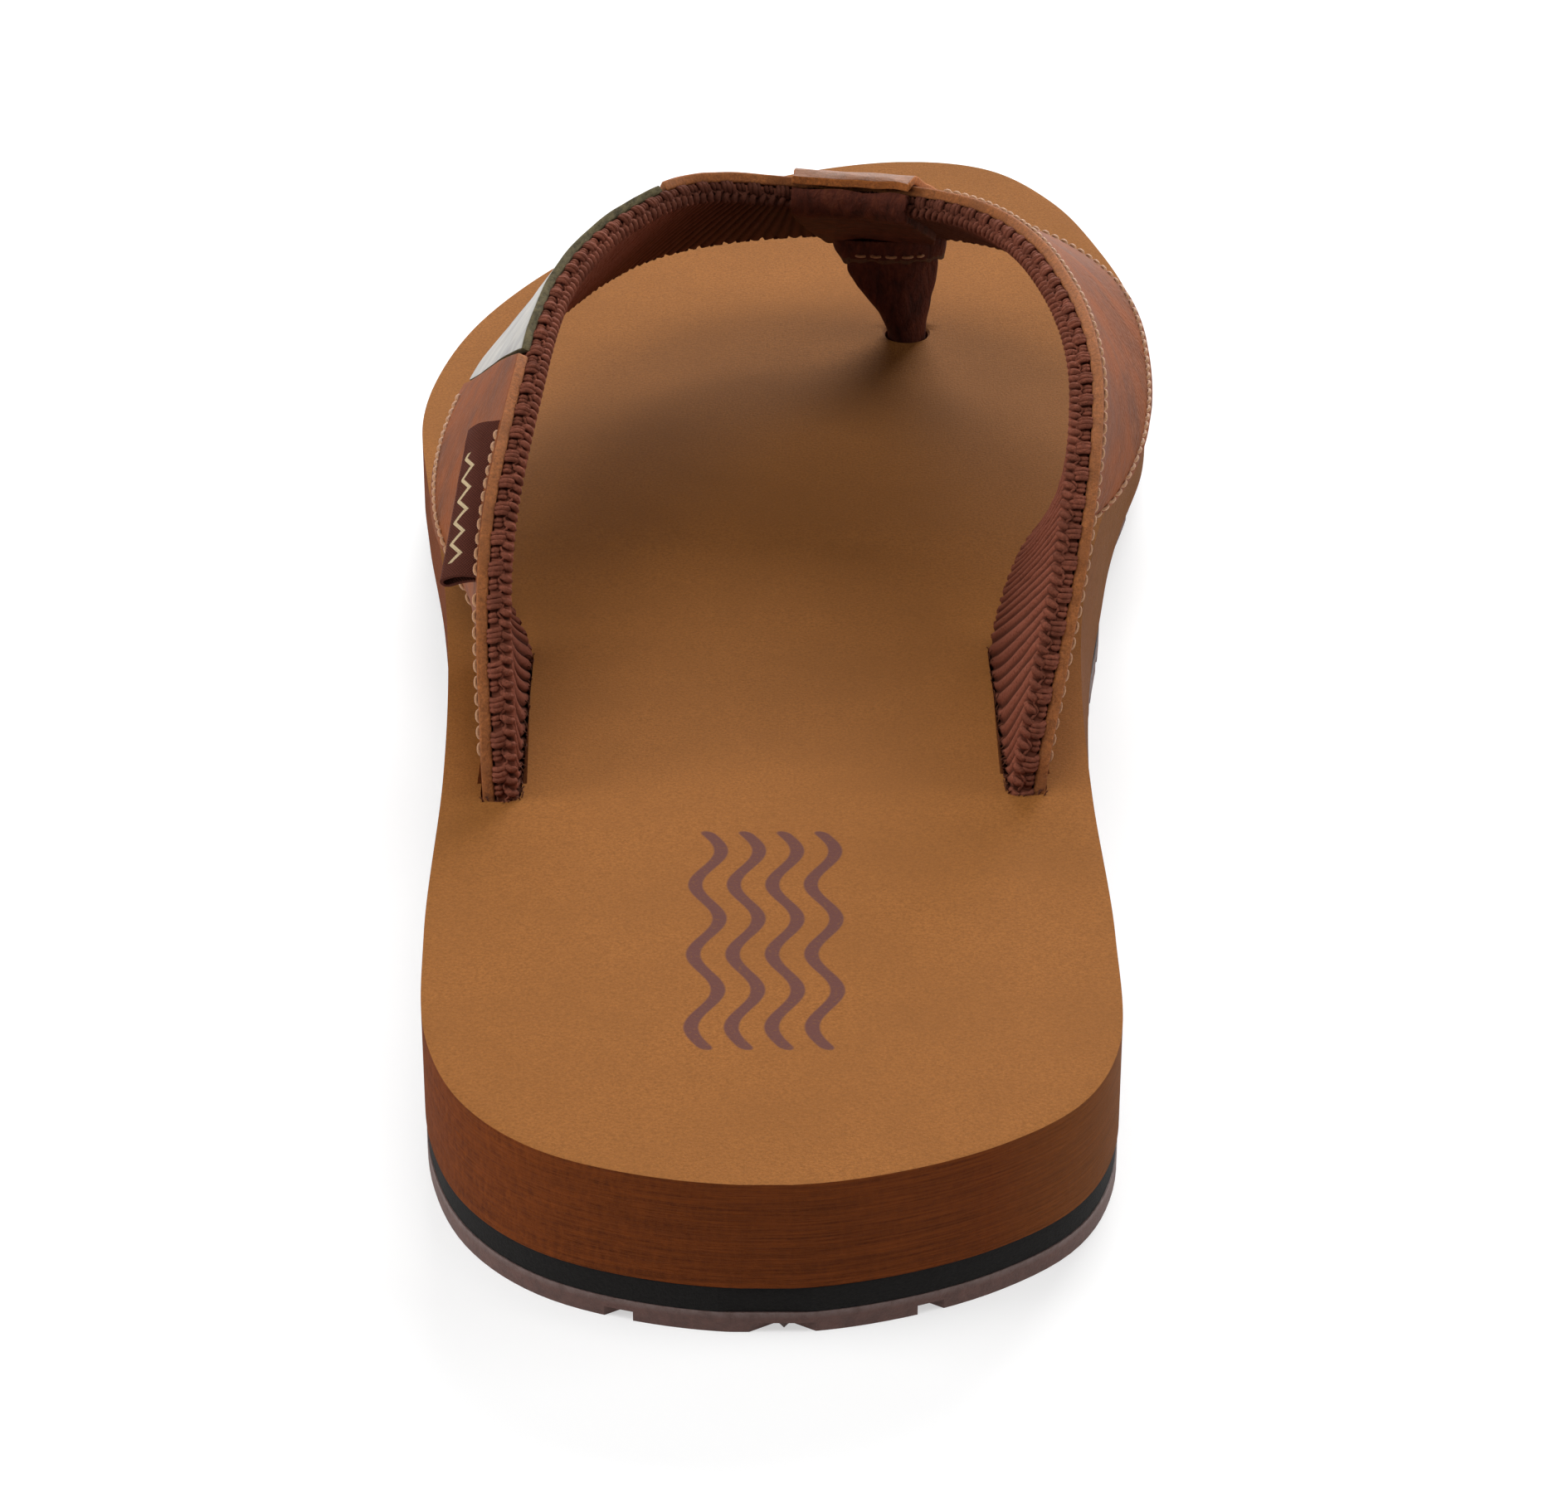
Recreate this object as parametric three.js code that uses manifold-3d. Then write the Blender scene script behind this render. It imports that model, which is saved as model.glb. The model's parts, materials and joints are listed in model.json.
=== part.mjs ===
// Flip flop for a left foot: a layered foam sole with one strap that runs from slot to slot over the toe post.
// Millimetres, +Z up. It is drawn with the back of the heel at Y = 0 and the toe at +Y, then centred.
import * as THREE from "three";
import { mergeVertices } from "three/addons/utils/BufferGeometryUtils.js";
import Module from "manifold-3d";

const wasm = await Module();
wasm.setup();

// ---------------------------------------------------------------- driving dimensions

const GAP = 0.2; // glue line between two layers

// Sole layers, and how the foam thins towards the toe and turns up there.
const OUTSOLE_THICKNESS = 2.6;
const MIDSOLE_THICKNESS = 2.9;
const FOOTBED_HEEL_THICKNESS = 13.6;
const FOOTBED_TOE_THICKNESS = 10.6;
const THINNING_START_Y = 70;
const THINNING_END_Y = 180;
const SPRING_START_Y = 205;
const SPRING_RISE = 4.5;
const SOLE_ROWS = 40;
const SOLE_COLUMNS = 6;
const SOLE_END_MARGIN = 0.12;

// Edge of the sole from the heel tip to the toe tip, as [X, Y] on each side.
const HEEL_TIP = [0, 0];
const TOE_TIP = [20, 290.5];
const LATERAL_EDGE = [
  [-14, 1.5],
  [-27, 6.9],
  [-35.5, 15.8],
  [-40.5, 29],
  [-42.3, 52],
  [-42.4, 90],
  [-43.8, 123],
  [-46.6, 155],
  [-50.4, 182],
  [-52.3, 202],
  [-50.8, 218],
  [-46.5, 234],
  [-39, 249],
  [-29, 262.5],
  [-15, 276.5],
  [2, 286.5],
];
const MEDIAL_EDGE = [
  [12, 2.4],
  [24, 8],
  [33, 16],
  [37.8, 27.5],
  [38.9, 52],
  [38.1, 85],
  [38.4, 115],
  [40.2, 143],
  [44, 168.5],
  [48.6, 189],
  [52.6, 207],
  [53.9, 226],
  [52.9, 243],
  [49, 260],
  [42.5, 276.5],
  [33, 287.5],
];
const EDGE_SAMPLES = 400;

// Tread: chevron grooves either side of the middle, and a plain pad under the heel.
const GROOVE_DEPTH = 1.2;
const GROOVE_WIDTH = 2.6;
const GROOVE_PITCH = 13;
const GROOVE_ANGLE = 0.55;
const GROOVE_LENGTH = 75;
const FIRST_GROOVE_Y = -12;
const LAST_GROOVE_Y = 305;
const GROOVE_OVERRUN = 5; // how far the groove cutter reaches past the sole's edge
const HEEL_PAD = { x: 0, y: 45, radius: 17 };
const ROUND_SEGMENTS = 32;

// The strap as pairs of points, [rear edge, front edge], on the face where leather meets webbing.
const STRAP_STATIONS = [
  [[-35.7, 84.8, 19.5], [-36, 126.4, 18.8]],
  [[-36.4, 101, 44], [-41, 132, 26]],
  [[-33.3, 128, 56], [-45.6, 146, 27]],
  [[-29.9, 157, 58], [-45.8, 173, 28]],
  [[-22.2, 182, 56.8], [-38.5, 201.8, 30.3]],
  [[-11.3, 200, 54.2], [-20.6, 228.2, 33.1]],
  [[3.2, 205, 51.2], [5.3, 238, 33.1]],
  [[17, 200, 52.2], [31.8, 230, 34.6]],
  [[27.7, 184, 56], [47.4, 208, 34.3]],
  [[35.2, 160, 58.7], [50.1, 180, 30.5]],
  [[39.2, 131, 56.6], [44.8, 156, 28]],
  [[36.7, 105, 44.6], [33.7, 137, 26.5]],
  [[30.8, 86.5, 19.5], [29.9, 128.3, 18.8]],
];
const WEBBING_THICKNESS = 2.3;
const LEATHER_THICKNESS = 1.3;
const FACE_GAP = 0.15; // half of the gap between leather and webbing
const STEPS_PER_STATION = 6;
const STRAP_COLUMNS = 3;
const SMALL_STEP = 0.01; // in stations, for measuring the strap's direction

// How the webbing ends below: down the slot, then folded inwards under the footbed.
const TAIL_DROP_Z = 11;
const TAIL_BEND = { inward: 1.2, z: 7.6 };
const TAIL_FLAT_Z = 6.2;
const TAIL_FLAT_START = 4.5;
const TAIL_LENGTH = 24;
const TAIL_STATIONS = 4;
const TAIL_RECESS_HEIGHT = 3.4;

const SLOT_WIDTH = 5.2;
const SLOT_LENGTH_MARGIN = 1.6;
const SLOT_CUT_HEIGHT = 24; // more than the footbed is thick

// Where each covering piece starts and ends on the strap's two edges, counted in stations.
const LATERAL_LEATHER = { rear: [-0.5, 2.2], front: [-0.5, 3.44] };
const PATCH = { rear: [2.24, 4.56], front: [3.48, 5.16] };
const MEDIAL_LEATHER = { rear: [4.6, 12.5], front: [5.2, 12.5] };
const PATCH_THICKNESS = 1.1;

// From the strap's edge to the row of stitches.
const REAR_SEAM_INSET = 1.2;
const FRONT_SEAM_INSET = 2.2;
const THREAD_WIDTH = 0.7;
const THREAD_HEIGHT = 0.5;
const THREAD_CLEARANCE = 0.25;
const THREAD_LOW = FACE_GAP + LEATHER_THICKNESS + THREAD_CLEARANCE;
const THREAD_HEIGHTS = [THREAD_LOW, THREAD_LOW + THREAD_HEIGHT];
const LATERAL_REAR_THREAD = [0.2, 0.85];
const LATERAL_FRONT_THREAD = [1, 3.3];
const MEDIAL_REAR_THREAD = [7.4, 11.8];
const MEDIAL_FRONT_THREAD = [6.9, 11.5];

// Toe wrap: a leather loop round the strap, centred a little differently on its two edges.
const WRAP_REAR = { centre: 6.47, half: 0.6 };
const WRAP_FRONT = { centre: 6.34, half: 0.29 };
const WRAP_THICKNESS = 1.2;
const WRAP_CLEARANCE = 0.35;
const WRAP_STEPS = 6;

// Toe post, from under the wrap down through the footbed to its head.
const POST_TOP = { x: 15.9, y: 232.8, z: 29.4, halfWidth: 6.8, halfDepth: 2.2 };
const POST_FOOT = { x: 18.4, y: 231.9, radius: 3 };
const POST_SHOULDER_Z = 20.5;
const POST_FLARE_START_Z = 18.5;
const POST_HEAD = { radius: 5.6, height: 1.6 };
const POST_SEGMENTS = 24;
const HOLE_RADIUS = 3.6;
const ANCHOR = { radius: 8.5, bore: 3.5, thickness: 1.6 };
const ANCHOR_RECESS_RADIUS = 9.2;
const ANCHOR_GAP = 0.3;

// Folded loop label beside the rear seam on the outer side of the foot.
const TAG_SPAN = [0.93, 1.72];
const TAG_SEAM_INSET = 2.6;
const TAG_THREAD_INSET = 1;
const TAG_WIDTH = 4;
const TAG_LAYER = 0.5;
const TAG_THICKNESS = 1.7;
const TAG_LIFT = 1.3;
const TAG_OPENING_ANGLE = 0.75;
const TAG_ROUND_STEPS = 6;

// ---------------------------------------------------------------- small tools

const clamp01 = (value) => Math.min(Math.max(value, 0), 1);
const smoothstep = (value) => clamp01(value) ** 2 * (3 - 2 * clamp01(value));
const mix = THREE.MathUtils.lerp;

/** Moves every vertex of a geometry to where place(x, y, z) says. */
function bend(geometry, place) {
  const position = geometry.getAttribute("position");
  for (let i = 0; i < position.count; i++) {
    const point = place(position.getX(i), position.getY(i), position.getZ(i));
    position.setXYZ(i, point.x, point.y, point.z);
  }
  return geometry;
}

/** A three.js geometry as a manifold-3d solid. */
function solid(geometry) {
  const bare = geometry.clone();
  bare.deleteAttribute("normal");
  bare.deleteAttribute("uv");
  const merged = mergeVertices(bare, 1e-3);
  return new wasm.Manifold(
    new wasm.Mesh({
      numProp: 3,
      vertProperties: merged.attributes.position.array,
      triVerts: new Uint32Array(merged.index.array),
    }),
  );
}

/** A manifold-3d solid as a three.js geometry. */
function geometryOf(shape) {
  const mesh = shape.getMesh();
  const geometry = new THREE.BufferGeometry();
  geometry.setAttribute("position", new THREE.BufferAttribute(mesh.vertProperties, 3));
  geometry.setIndex(new THREE.BufferAttribute(mesh.triVerts, 1));
  return geometry;
}

/** A closed upright cylinder standing on (x, y, z). */
function disc(radius, height, x, y, z) {
  const geometry = new THREE.CylinderGeometry(radius, radius, height, ROUND_SEGMENTS);
  geometry.rotateX(Math.PI / 2);
  return geometry.translate(x, y, z + height / 2);
}

function block(width, length, height) {
  return new THREE.BoxGeometry(width, length, height);
}

// ---------------------------------------------------------------- sole

/** Points along one edge from heel tip to toe tip, on a curve that runs on into the other edge at both tips. */
function edgeSamples(edge, otherEdge) {
  const outline = [otherEdge[0], HEEL_TIP, ...edge, TOE_TIP, otherEdge.at(-1)];
  const curve = new THREE.SplineCurve(outline.map(([x, y]) => new THREE.Vector2(x, y)));
  const spans = outline.length - 1;
  const shareAt = (k) => mix(1, spans - 1, k / EDGE_SAMPLES) / spans;
  return Array.from({ length: EDGE_SAMPLES + 1 }, (_, k) => curve.getPoint(shareAt(k)));
}

const lateralSamples = edgeSamples(LATERAL_EDGE, MEDIAL_EDGE);
const medialSamples = edgeSamples(MEDIAL_EDGE, LATERAL_EDGE);

/** X of a sole edge at a given Y. */
function edgeX(samples, y) {
  const found = samples.findIndex((point) => point.y >= y);
  const next = found < 0 ? samples.length - 1 : Math.max(1, found);
  const before = samples[next - 1];
  const after = samples[next];
  const share = clamp01((y - before.y) / (after.y - before.y));
  return mix(before.x, after.x, share);
}

const springZ = (y) => SPRING_RISE * clamp01((y - SPRING_START_Y) / (TOE_TIP[1] - SPRING_START_Y)) ** 2;

function footbedThickness(y) {
  const share = smoothstep((y - THINNING_START_Y) / (THINNING_END_Y - THINNING_START_Y));
  return mix(FOOTBED_HEEL_THICKNESS, FOOTBED_TOE_THICKNESS, share);
}

const midsoleZ = OUTSOLE_THICKNESS + GAP;
const footbedZ = midsoleZ + MIDSOLE_THICKNESS + GAP;

/** One layer of the sole that follows the toe spring, with its edge moved out by outset. */
function soleLayer(bottomZ, thickness, outset = 0) {
  const grid = new THREE.BoxGeometry(1, 1, 1, SOLE_COLUMNS, SOLE_ROWS, 1);
  const margin = SOLE_END_MARGIN - outset;
  return bend(grid, (across, along, up) => {
    const sweep = (1 - Math.cos(Math.PI * (along + 0.5))) / 2;
    const y = mix(margin, TOE_TIP[1] - margin, sweep);
    const lateralX = edgeX(lateralSamples, y) - outset;
    const medialX = edgeX(medialSamples, y) + outset;
    const x = mix(lateralX, medialX, across + 0.5);
    const z = bottomZ + springZ(y) + (up + 0.5) * thickness(y);
    return new THREE.Vector3(x, y, z);
  });
}

/** Chevron grooves, cut only as deep as the tread and not into the heel pad. */
function treadGrooves() {
  const bars = [];
  for (let y = FIRST_GROOVE_Y; y < LAST_GROOVE_Y; y += GROOVE_PITCH) {
    for (const side of [-1, 1]) {
      const bar = block(GROOVE_LENGTH, GROOVE_WIDTH, 2 * (GROOVE_DEPTH + SPRING_RISE));
      bar.translate(side * (GROOVE_LENGTH / 2 - GROOVE_WIDTH / 2), 0, 0);
      bar.rotateZ(-side * GROOVE_ANGLE);
      bars.push(solid(bar.translate(0, y, 0)));
    }
  }
  const roof = solid(soleLayer(-2 * SPRING_RISE, () => 2 * SPRING_RISE + GROOVE_DEPTH, GROOVE_OVERRUN));
  const pad = solid(disc(HEEL_PAD.radius, 2 * SPRING_RISE, HEEL_PAD.x, HEEL_PAD.y, -SPRING_RISE));
  const chevrons = bars.reduce((all, bar) => all.add(bar));
  return chevrons.intersect(roof).subtract(pad);
}

function outsole() {
  return geometryOf(solid(soleLayer(0, () => OUTSOLE_THICKNESS)).subtract(treadGrooves()));
}

function midsole() {
  return soleLayer(midsoleZ, () => MIDSOLE_THICKNESS);
}

/** The slot for one end of the strap, with the recess below it for the folded tail. */
function slotCutter(station, inward) {
  const [rear, front] = station.map((point) => new THREE.Vector3(...point));
  const middle = rear.clone().add(front).multiplyScalar(0.5);
  const turn = Math.atan2(rear.x - front.x, front.y - rear.y);
  const length = front.y - rear.y + 2 * SLOT_LENGTH_MARGIN;
  const shift = inward * (WEBBING_THICKNESS - LEATHER_THICKNESS) / 2;
  const slot = block(SLOT_WIDTH, length, SLOT_CUT_HEIGHT);
  slot.rotateZ(turn).translate(middle.x + shift, middle.y, footbedZ + SLOT_CUT_HEIGHT / 2);
  const reach = TAIL_LENGTH + SLOT_WIDTH;
  const recess = block(reach, length, 2 * TAIL_RECESS_HEIGHT);
  recess.translate(middle.x + (inward * (reach - SLOT_WIDTH)) / 2, middle.y, footbedZ);
  return solid(slot).add(solid(recess));
}

function footbed() {
  const recessHeight = ANCHOR.thickness + POST_HEAD.height + 2 * ANCHOR_GAP + GAP;
  const recessZ = footbedZ + springZ(POST_FOOT.y);
  const hole = disc(HOLE_RADIUS, SLOT_CUT_HEIGHT, POST_FOOT.x, POST_FOOT.y, footbedZ);
  const recess = disc(ANCHOR_RECESS_RADIUS, 2 * recessHeight, POST_FOOT.x, POST_FOOT.y, recessZ - recessHeight);
  return geometryOf(
    solid(soleLayer(footbedZ, footbedThickness))
      .subtract(slotCutter(STRAP_STATIONS[0], 1))
      .subtract(slotCutter(STRAP_STATIONS.at(-1), -1))
      .subtract(solid(hole))
      .subtract(solid(recess)),
  );
}

// ---------------------------------------------------------------- strap

/** The stations that carry the strap down a slot and inwards under the footbed. */
function tailStations([rear, front], inward) {
  const at = (step, z) => [rear, front].map(([x, y]) => [x + inward * step, y, z]);
  return [
    at(0, TAIL_DROP_Z),
    at(TAIL_BEND.inward, TAIL_BEND.z),
    at(TAIL_FLAT_START, TAIL_FLAT_Z),
    at(TAIL_LENGTH, TAIL_FLAT_Z),
  ];
}

const allStations = [
  ...tailStations(STRAP_STATIONS[0], 1).reverse(),
  ...STRAP_STATIONS,
  ...tailStations(STRAP_STATIONS.at(-1), -1),
];
const edgeCurve = (edge) =>
  new THREE.CatmullRomCurve3(allStations.map((pair) => new THREE.Vector3(...pair[edge])));
const rearCurve = edgeCurve(0);
const frontCurve = edgeCurve(1);

/** The point a share w across the strap, at a station number counted from the outer slot. */
function onStrap(station, w) {
  const share = clamp01((station + TAIL_STATIONS) / (allStations.length - 1));
  return rearCurve.getPoint(share).lerp(frontCurve.getPoint(share), w);
}

/** The strap's outward normal there. */
function strapNormal(station, w) {
  const along = onStrap(station + SMALL_STEP, w).sub(onStrap(station - SMALL_STEP, w));
  const across = onStrap(station, 1).sub(onStrap(station, 0));
  return along.cross(across).normalize();
}

const placeOnStrap = (station, w, height) =>
  onStrap(station, w).addScaledVector(strapNormal(station, w), height);

/** The stations where a span is sampled: shared by every layer, so that layers never cut each other. */
function samplesOf([from, to]) {
  const inner = [];
  for (let k = Math.floor(from * STEPS_PER_STATION) + 1; k < to * STEPS_PER_STATION; k++) {
    inner.push(k / STEPS_PER_STATION);
  }
  return [from, ...inner, to];
}

/** A strip that follows the strap, whose sides lie at shareAt(station, side) of its width. */
function strapStrip(span, shareAt, [low, high], columns) {
  const samples = samplesOf(span);
  const steps = samples.length - 1;
  const grid = new THREE.BoxGeometry(1, 1, 1, steps, columns, 1);
  return bend(grid, (along, across, up) => {
    const station = samples[Math.round((along + 0.5) * steps)];
    return placeOnStrap(station, shareAt(station, across), mix(low, high, up + 0.5));
  });
}

const wholeWidth = (_station, side) => side + 0.5;

function webbing() {
  const span = [-TAIL_STATIONS, STRAP_STATIONS.length - 1 + TAIL_STATIONS];
  return strapStrip(span, wholeWidth, [-FACE_GAP - WEBBING_THICKNESS, -FACE_GAP], STRAP_COLUMNS);
}

/** A covering on the webbing's outer face, whose ends may be cut on the slant. */
function covering({ rear, front }, thickness) {
  const longest = Math.max(rear[1] - rear[0], front[1] - front[0]);
  const steps = Math.ceil(longest * STEPS_PER_STATION);
  const grid = new THREE.BoxGeometry(1, 1, 1, steps, STRAP_COLUMNS, 1);
  return bend(grid, (along, across, up) => {
    const w = across + 0.5;
    const station = mix(mix(...rear, along + 0.5), mix(...front, along + 0.5), w);
    return placeOnStrap(station, w, FACE_GAP + (up + 0.5) * thickness);
  });
}

const strapWidthAt = (station) => onStrap(station, 0).distanceTo(onStrap(station, 1));

/** A row of stitches laid on the leather at a fixed distance from the rear edge. */
function rearThread(span, inset) {
  const shareAt = (station, side) => (inset + side * THREAD_WIDTH) / strapWidthAt(station);
  return strapStrip(span, shareAt, THREAD_HEIGHTS, 1);
}

/** The same, measured from the front edge. */
function frontThread(span, inset) {
  const shareAt = (station, side) => 1 - (inset - side * THREAD_WIDTH) / strapWidthAt(station);
  return strapStrip(span, shareAt, THREAD_HEIGHTS, 1);
}

// ---------------------------------------------------------------- toe

/** The wrap's section: a ring round the strap, as [share of width in mm, height]. */
function wrapSection(width) {
  const ring = (inset, Kind) => {
    const shape = new Kind();
    const rear = -WRAP_CLEARANCE - inset;
    const front = width + WRAP_CLEARANCE + inset;
    const low = -FACE_GAP - WEBBING_THICKNESS - WRAP_CLEARANCE - inset;
    const high = FACE_GAP + LEATHER_THICKNESS + WRAP_CLEARANCE + inset;
    shape.moveTo(rear, low);
    shape.lineTo(front, low);
    shape.lineTo(front, high);
    shape.lineTo(rear, high);
    shape.closePath();
    return shape;
  };
  const section = ring(WRAP_THICKNESS, THREE.Shape);
  section.holes.push(ring(0, THREE.Path));
  return section;
}

function toeWrap() {
  const width = onStrap(WRAP_REAR.centre, 0).distanceTo(onStrap(WRAP_REAR.centre, 1));
  const band = new THREE.ExtrudeGeometry(wrapSection(width), {
    depth: 1,
    steps: WRAP_STEPS,
    bevelEnabled: false,
  });
  return bend(band, (across, height, along) => {
    const w = across / width;
    const centre = mix(WRAP_REAR.centre, WRAP_FRONT.centre, w);
    const half = mix(WRAP_REAR.half, WRAP_FRONT.half, w);
    return placeOnStrap(centre + (2 * along - 1) * half, w, height);
  });
}

/** The post: a flat top that tapers to a round stem, with a head below its washer. */
function toePost() {
  const headZ = footbedZ + springZ(POST_FOOT.y) + GAP;
  const stemZ = headZ + POST_HEAD.height;
  const profile = [
    [0, headZ],
    [POST_HEAD.radius, headZ],
    [POST_HEAD.radius, stemZ],
    [POST_FOOT.radius, stemZ],
    [POST_FOOT.radius, (stemZ + POST_SHOULDER_Z) / 2],
    [POST_FOOT.radius, POST_FLARE_START_Z],
    [POST_FOOT.radius, POST_SHOULDER_Z],
    [POST_FOOT.radius, (POST_SHOULDER_Z + POST_TOP.z) / 2],
    [POST_FOOT.radius, POST_TOP.z],
    [0, POST_TOP.z],
  ].map(([radius, z]) => new THREE.Vector2(radius, z));
  const lathe = new THREE.LatheGeometry(profile, POST_SEGMENTS);
  lathe.rotateX(Math.PI / 2);
  return bend(lathe, (x, y, z) => {
    const flare = smoothstep((z - POST_FLARE_START_Z) / (POST_TOP.z - POST_FLARE_START_Z));
    return new THREE.Vector3(
      mix(POST_FOOT.x, POST_TOP.x, flare) + x * mix(1, POST_TOP.halfWidth / POST_FOOT.radius, flare),
      mix(POST_FOOT.y, POST_TOP.y, flare) + y * mix(1, POST_TOP.halfDepth / POST_FOOT.radius, flare),
      z,
    );
  });
}

function toeAnchor() {
  const z = footbedZ + springZ(POST_FOOT.y) + GAP + POST_HEAD.height + ANCHOR_GAP;
  const washer = solid(disc(ANCHOR.radius, ANCHOR.thickness, POST_FOOT.x, POST_FOOT.y, z));
  const bore = disc(ANCHOR.bore, 4 * ANCHOR.thickness, POST_FOOT.x, POST_FOOT.y, z - ANCHOR.thickness);
  return geometryOf(washer.subtract(solid(bore)));
}

/** The row of stitches that closes the wrap just above the post. */
function wrapThread() {
  const thread = block(2 * POST_TOP.halfWidth, THREAD_WIDTH, THREAD_HEIGHT);
  const y = POST_TOP.y - POST_TOP.halfDepth - THREAD_WIDTH;
  return thread.translate(POST_TOP.x, y, POST_TOP.z - THREAD_HEIGHT);
}

// ---------------------------------------------------------------- side tag

/** One end of the line that the tag is sewn along. */
function tagSeamPoint(station) {
  const w = TAG_SEAM_INSET / strapWidthAt(station);
  return placeOnStrap(station, w, FACE_GAP + LEATHER_THICKNESS + TAG_LIFT);
}

/** The tag's frame: x along the seam, y out to its fold, z away from the strap. */
function tagFrame() {
  const from = tagSeamPoint(TAG_SPAN[0]);
  const to = tagSeamPoint(TAG_SPAN[1]);
  const middle = (TAG_SPAN[0] + TAG_SPAN[1]) / 2;
  const x = to.clone().sub(from).normalize();
  const z = strapNormal(middle, 0).addScaledVector(x, -strapNormal(middle, 0).dot(x)).normalize();
  const y = z.clone().cross(x);
  const matrix = new THREE.Matrix4().makeBasis(x, y, z);
  const opening = new THREE.Matrix4().makeRotationX(TAG_OPENING_ANGLE);
  matrix.multiply(opening).setPosition(from);
  return { matrix, length: to.distanceTo(from) };
}

/** A label folded in half: two flat layers joined by a round fold, open at both ends. */
function sideTag() {
  const outerRadius = TAG_THICKNESS / 2;
  const innerRadius = outerRadius - TAG_LAYER;
  const flat = TAG_WIDTH - outerRadius;
  const section = new THREE.Shape();
  section.moveTo(0, -outerRadius);
  section.lineTo(flat, -outerRadius);
  section.absarc(flat, 0, outerRadius, -Math.PI / 2, Math.PI / 2, false);
  section.lineTo(0, outerRadius);
  section.lineTo(0, innerRadius);
  section.lineTo(flat, innerRadius);
  section.absarc(flat, 0, innerRadius, Math.PI / 2, -Math.PI / 2, true);
  section.lineTo(0, -innerRadius);
  section.closePath();
  const { matrix, length } = tagFrame();
  const loop = new THREE.ExtrudeGeometry(section, {
    depth: length,
    bevelEnabled: false,
    curveSegments: TAG_ROUND_STEPS,
  });
  const upright = new THREE.Matrix4().makeBasis(
    new THREE.Vector3(0, 1, 0),
    new THREE.Vector3(0, 0, 1),
    new THREE.Vector3(1, 0, 0),
  );
  return loop.applyMatrix4(upright).applyMatrix4(matrix);
}

// ---------------------------------------------------------------- assembly

const finish = (color, roughness) => new THREE.MeshStandardMaterial({ color, roughness, metalness: 0 });

const foamTan = () => finish(0xa06a3c, 0.85);
const foamBlack = () => finish(0x2a1a18, 0.8);
const rubberBrown = () => finish(0x5f3b38, 0.7);
const webbingBrown = () => finish(0x6b4846, 0.9);
const leatherBrown = () => finish(0x916955, 0.55);
const leatherRaw = () => finish(0xa8692f, 0.8);
const printedSilver = () => finish(0xb9bcb8, 0.35);
const labelBrown = () => finish(0x3a1c1c, 0.8);
const threadTan = () => finish(0xb0703a, 0.7);
const washerBlack = () => finish(0x1c1c1c, 0.5);

const PARTS = [
  ["outsole", outsole(), rubberBrown()],
  ["midsole", midsole(), foamBlack()],
  ["footbed", footbed(), foamTan()],
  ["strap_webbing", webbing(), webbingBrown()],
  ["lateral_leather", covering(LATERAL_LEATHER, LEATHER_THICKNESS), leatherBrown()],
  ["print_patch", covering(PATCH, PATCH_THICKNESS), printedSilver()],
  ["medial_leather", covering(MEDIAL_LEATHER, LEATHER_THICKNESS), leatherBrown()],
  ["lateral_rear_thread", rearThread(LATERAL_REAR_THREAD, REAR_SEAM_INSET), threadTan()],
  ["lateral_front_thread", frontThread(LATERAL_FRONT_THREAD, FRONT_SEAM_INSET), threadTan()],
  ["medial_rear_thread", rearThread(MEDIAL_REAR_THREAD, REAR_SEAM_INSET), threadTan()],
  ["medial_front_thread", frontThread(MEDIAL_FRONT_THREAD, FRONT_SEAM_INSET), threadTan()],
  ["toe_wrap", toeWrap(), leatherRaw()],
  ["toe_wrap_thread", wrapThread(), threadTan()],
  ["toe_post", toePost(), labelBrown()],
  ["toe_anchor", toeAnchor(), washerBlack()],
  ["side_tag", sideTag(), labelBrown()],
  ["side_tag_thread", rearThread(TAG_SPAN, TAG_THREAD_INSET), threadTan()],
];

const drawing = new THREE.Group();
for (const [name, geometry, material] of PARTS) {
  const mesh = new THREE.Mesh(geometry, material);
  mesh.name = name;
  drawing.add(mesh);
}

const box = new THREE.Box3().setFromObject(drawing, true);
const centre = box.getCenter(new THREE.Vector3());
drawing.position.set(-centre.x, -centre.y, -box.min.z);

const flipFlop = new THREE.Group();
flipFlop.add(drawing);

export default flipFlop;
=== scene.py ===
"""The looks of a left-foot flip flop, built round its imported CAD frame. Laid out as a Blender add-on."""
import json
import math
from bisect import bisect_left
from functools import lru_cache
from random import Random

import bmesh
import bpy
from mathutils import Matrix, Vector, noise


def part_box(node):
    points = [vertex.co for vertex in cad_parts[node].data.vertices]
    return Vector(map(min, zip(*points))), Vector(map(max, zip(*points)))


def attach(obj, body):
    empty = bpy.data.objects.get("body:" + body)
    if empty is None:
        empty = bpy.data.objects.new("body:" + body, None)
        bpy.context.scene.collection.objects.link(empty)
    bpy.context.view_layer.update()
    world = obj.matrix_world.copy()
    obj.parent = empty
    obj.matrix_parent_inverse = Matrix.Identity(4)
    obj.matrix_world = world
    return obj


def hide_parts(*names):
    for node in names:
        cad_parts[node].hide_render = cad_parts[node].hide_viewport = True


bl_info = {
    "name": "Flip Flop Looks",
    "version": (1, 0, 0),
    "blender": (4, 5, 0),
    "location": "3D View > Sidebar > Flip Flop",
    "description": "Builds the foam sole, strap, toe post and label of a flip flop round its CAD frame",
    "category": "Object",
}

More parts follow.
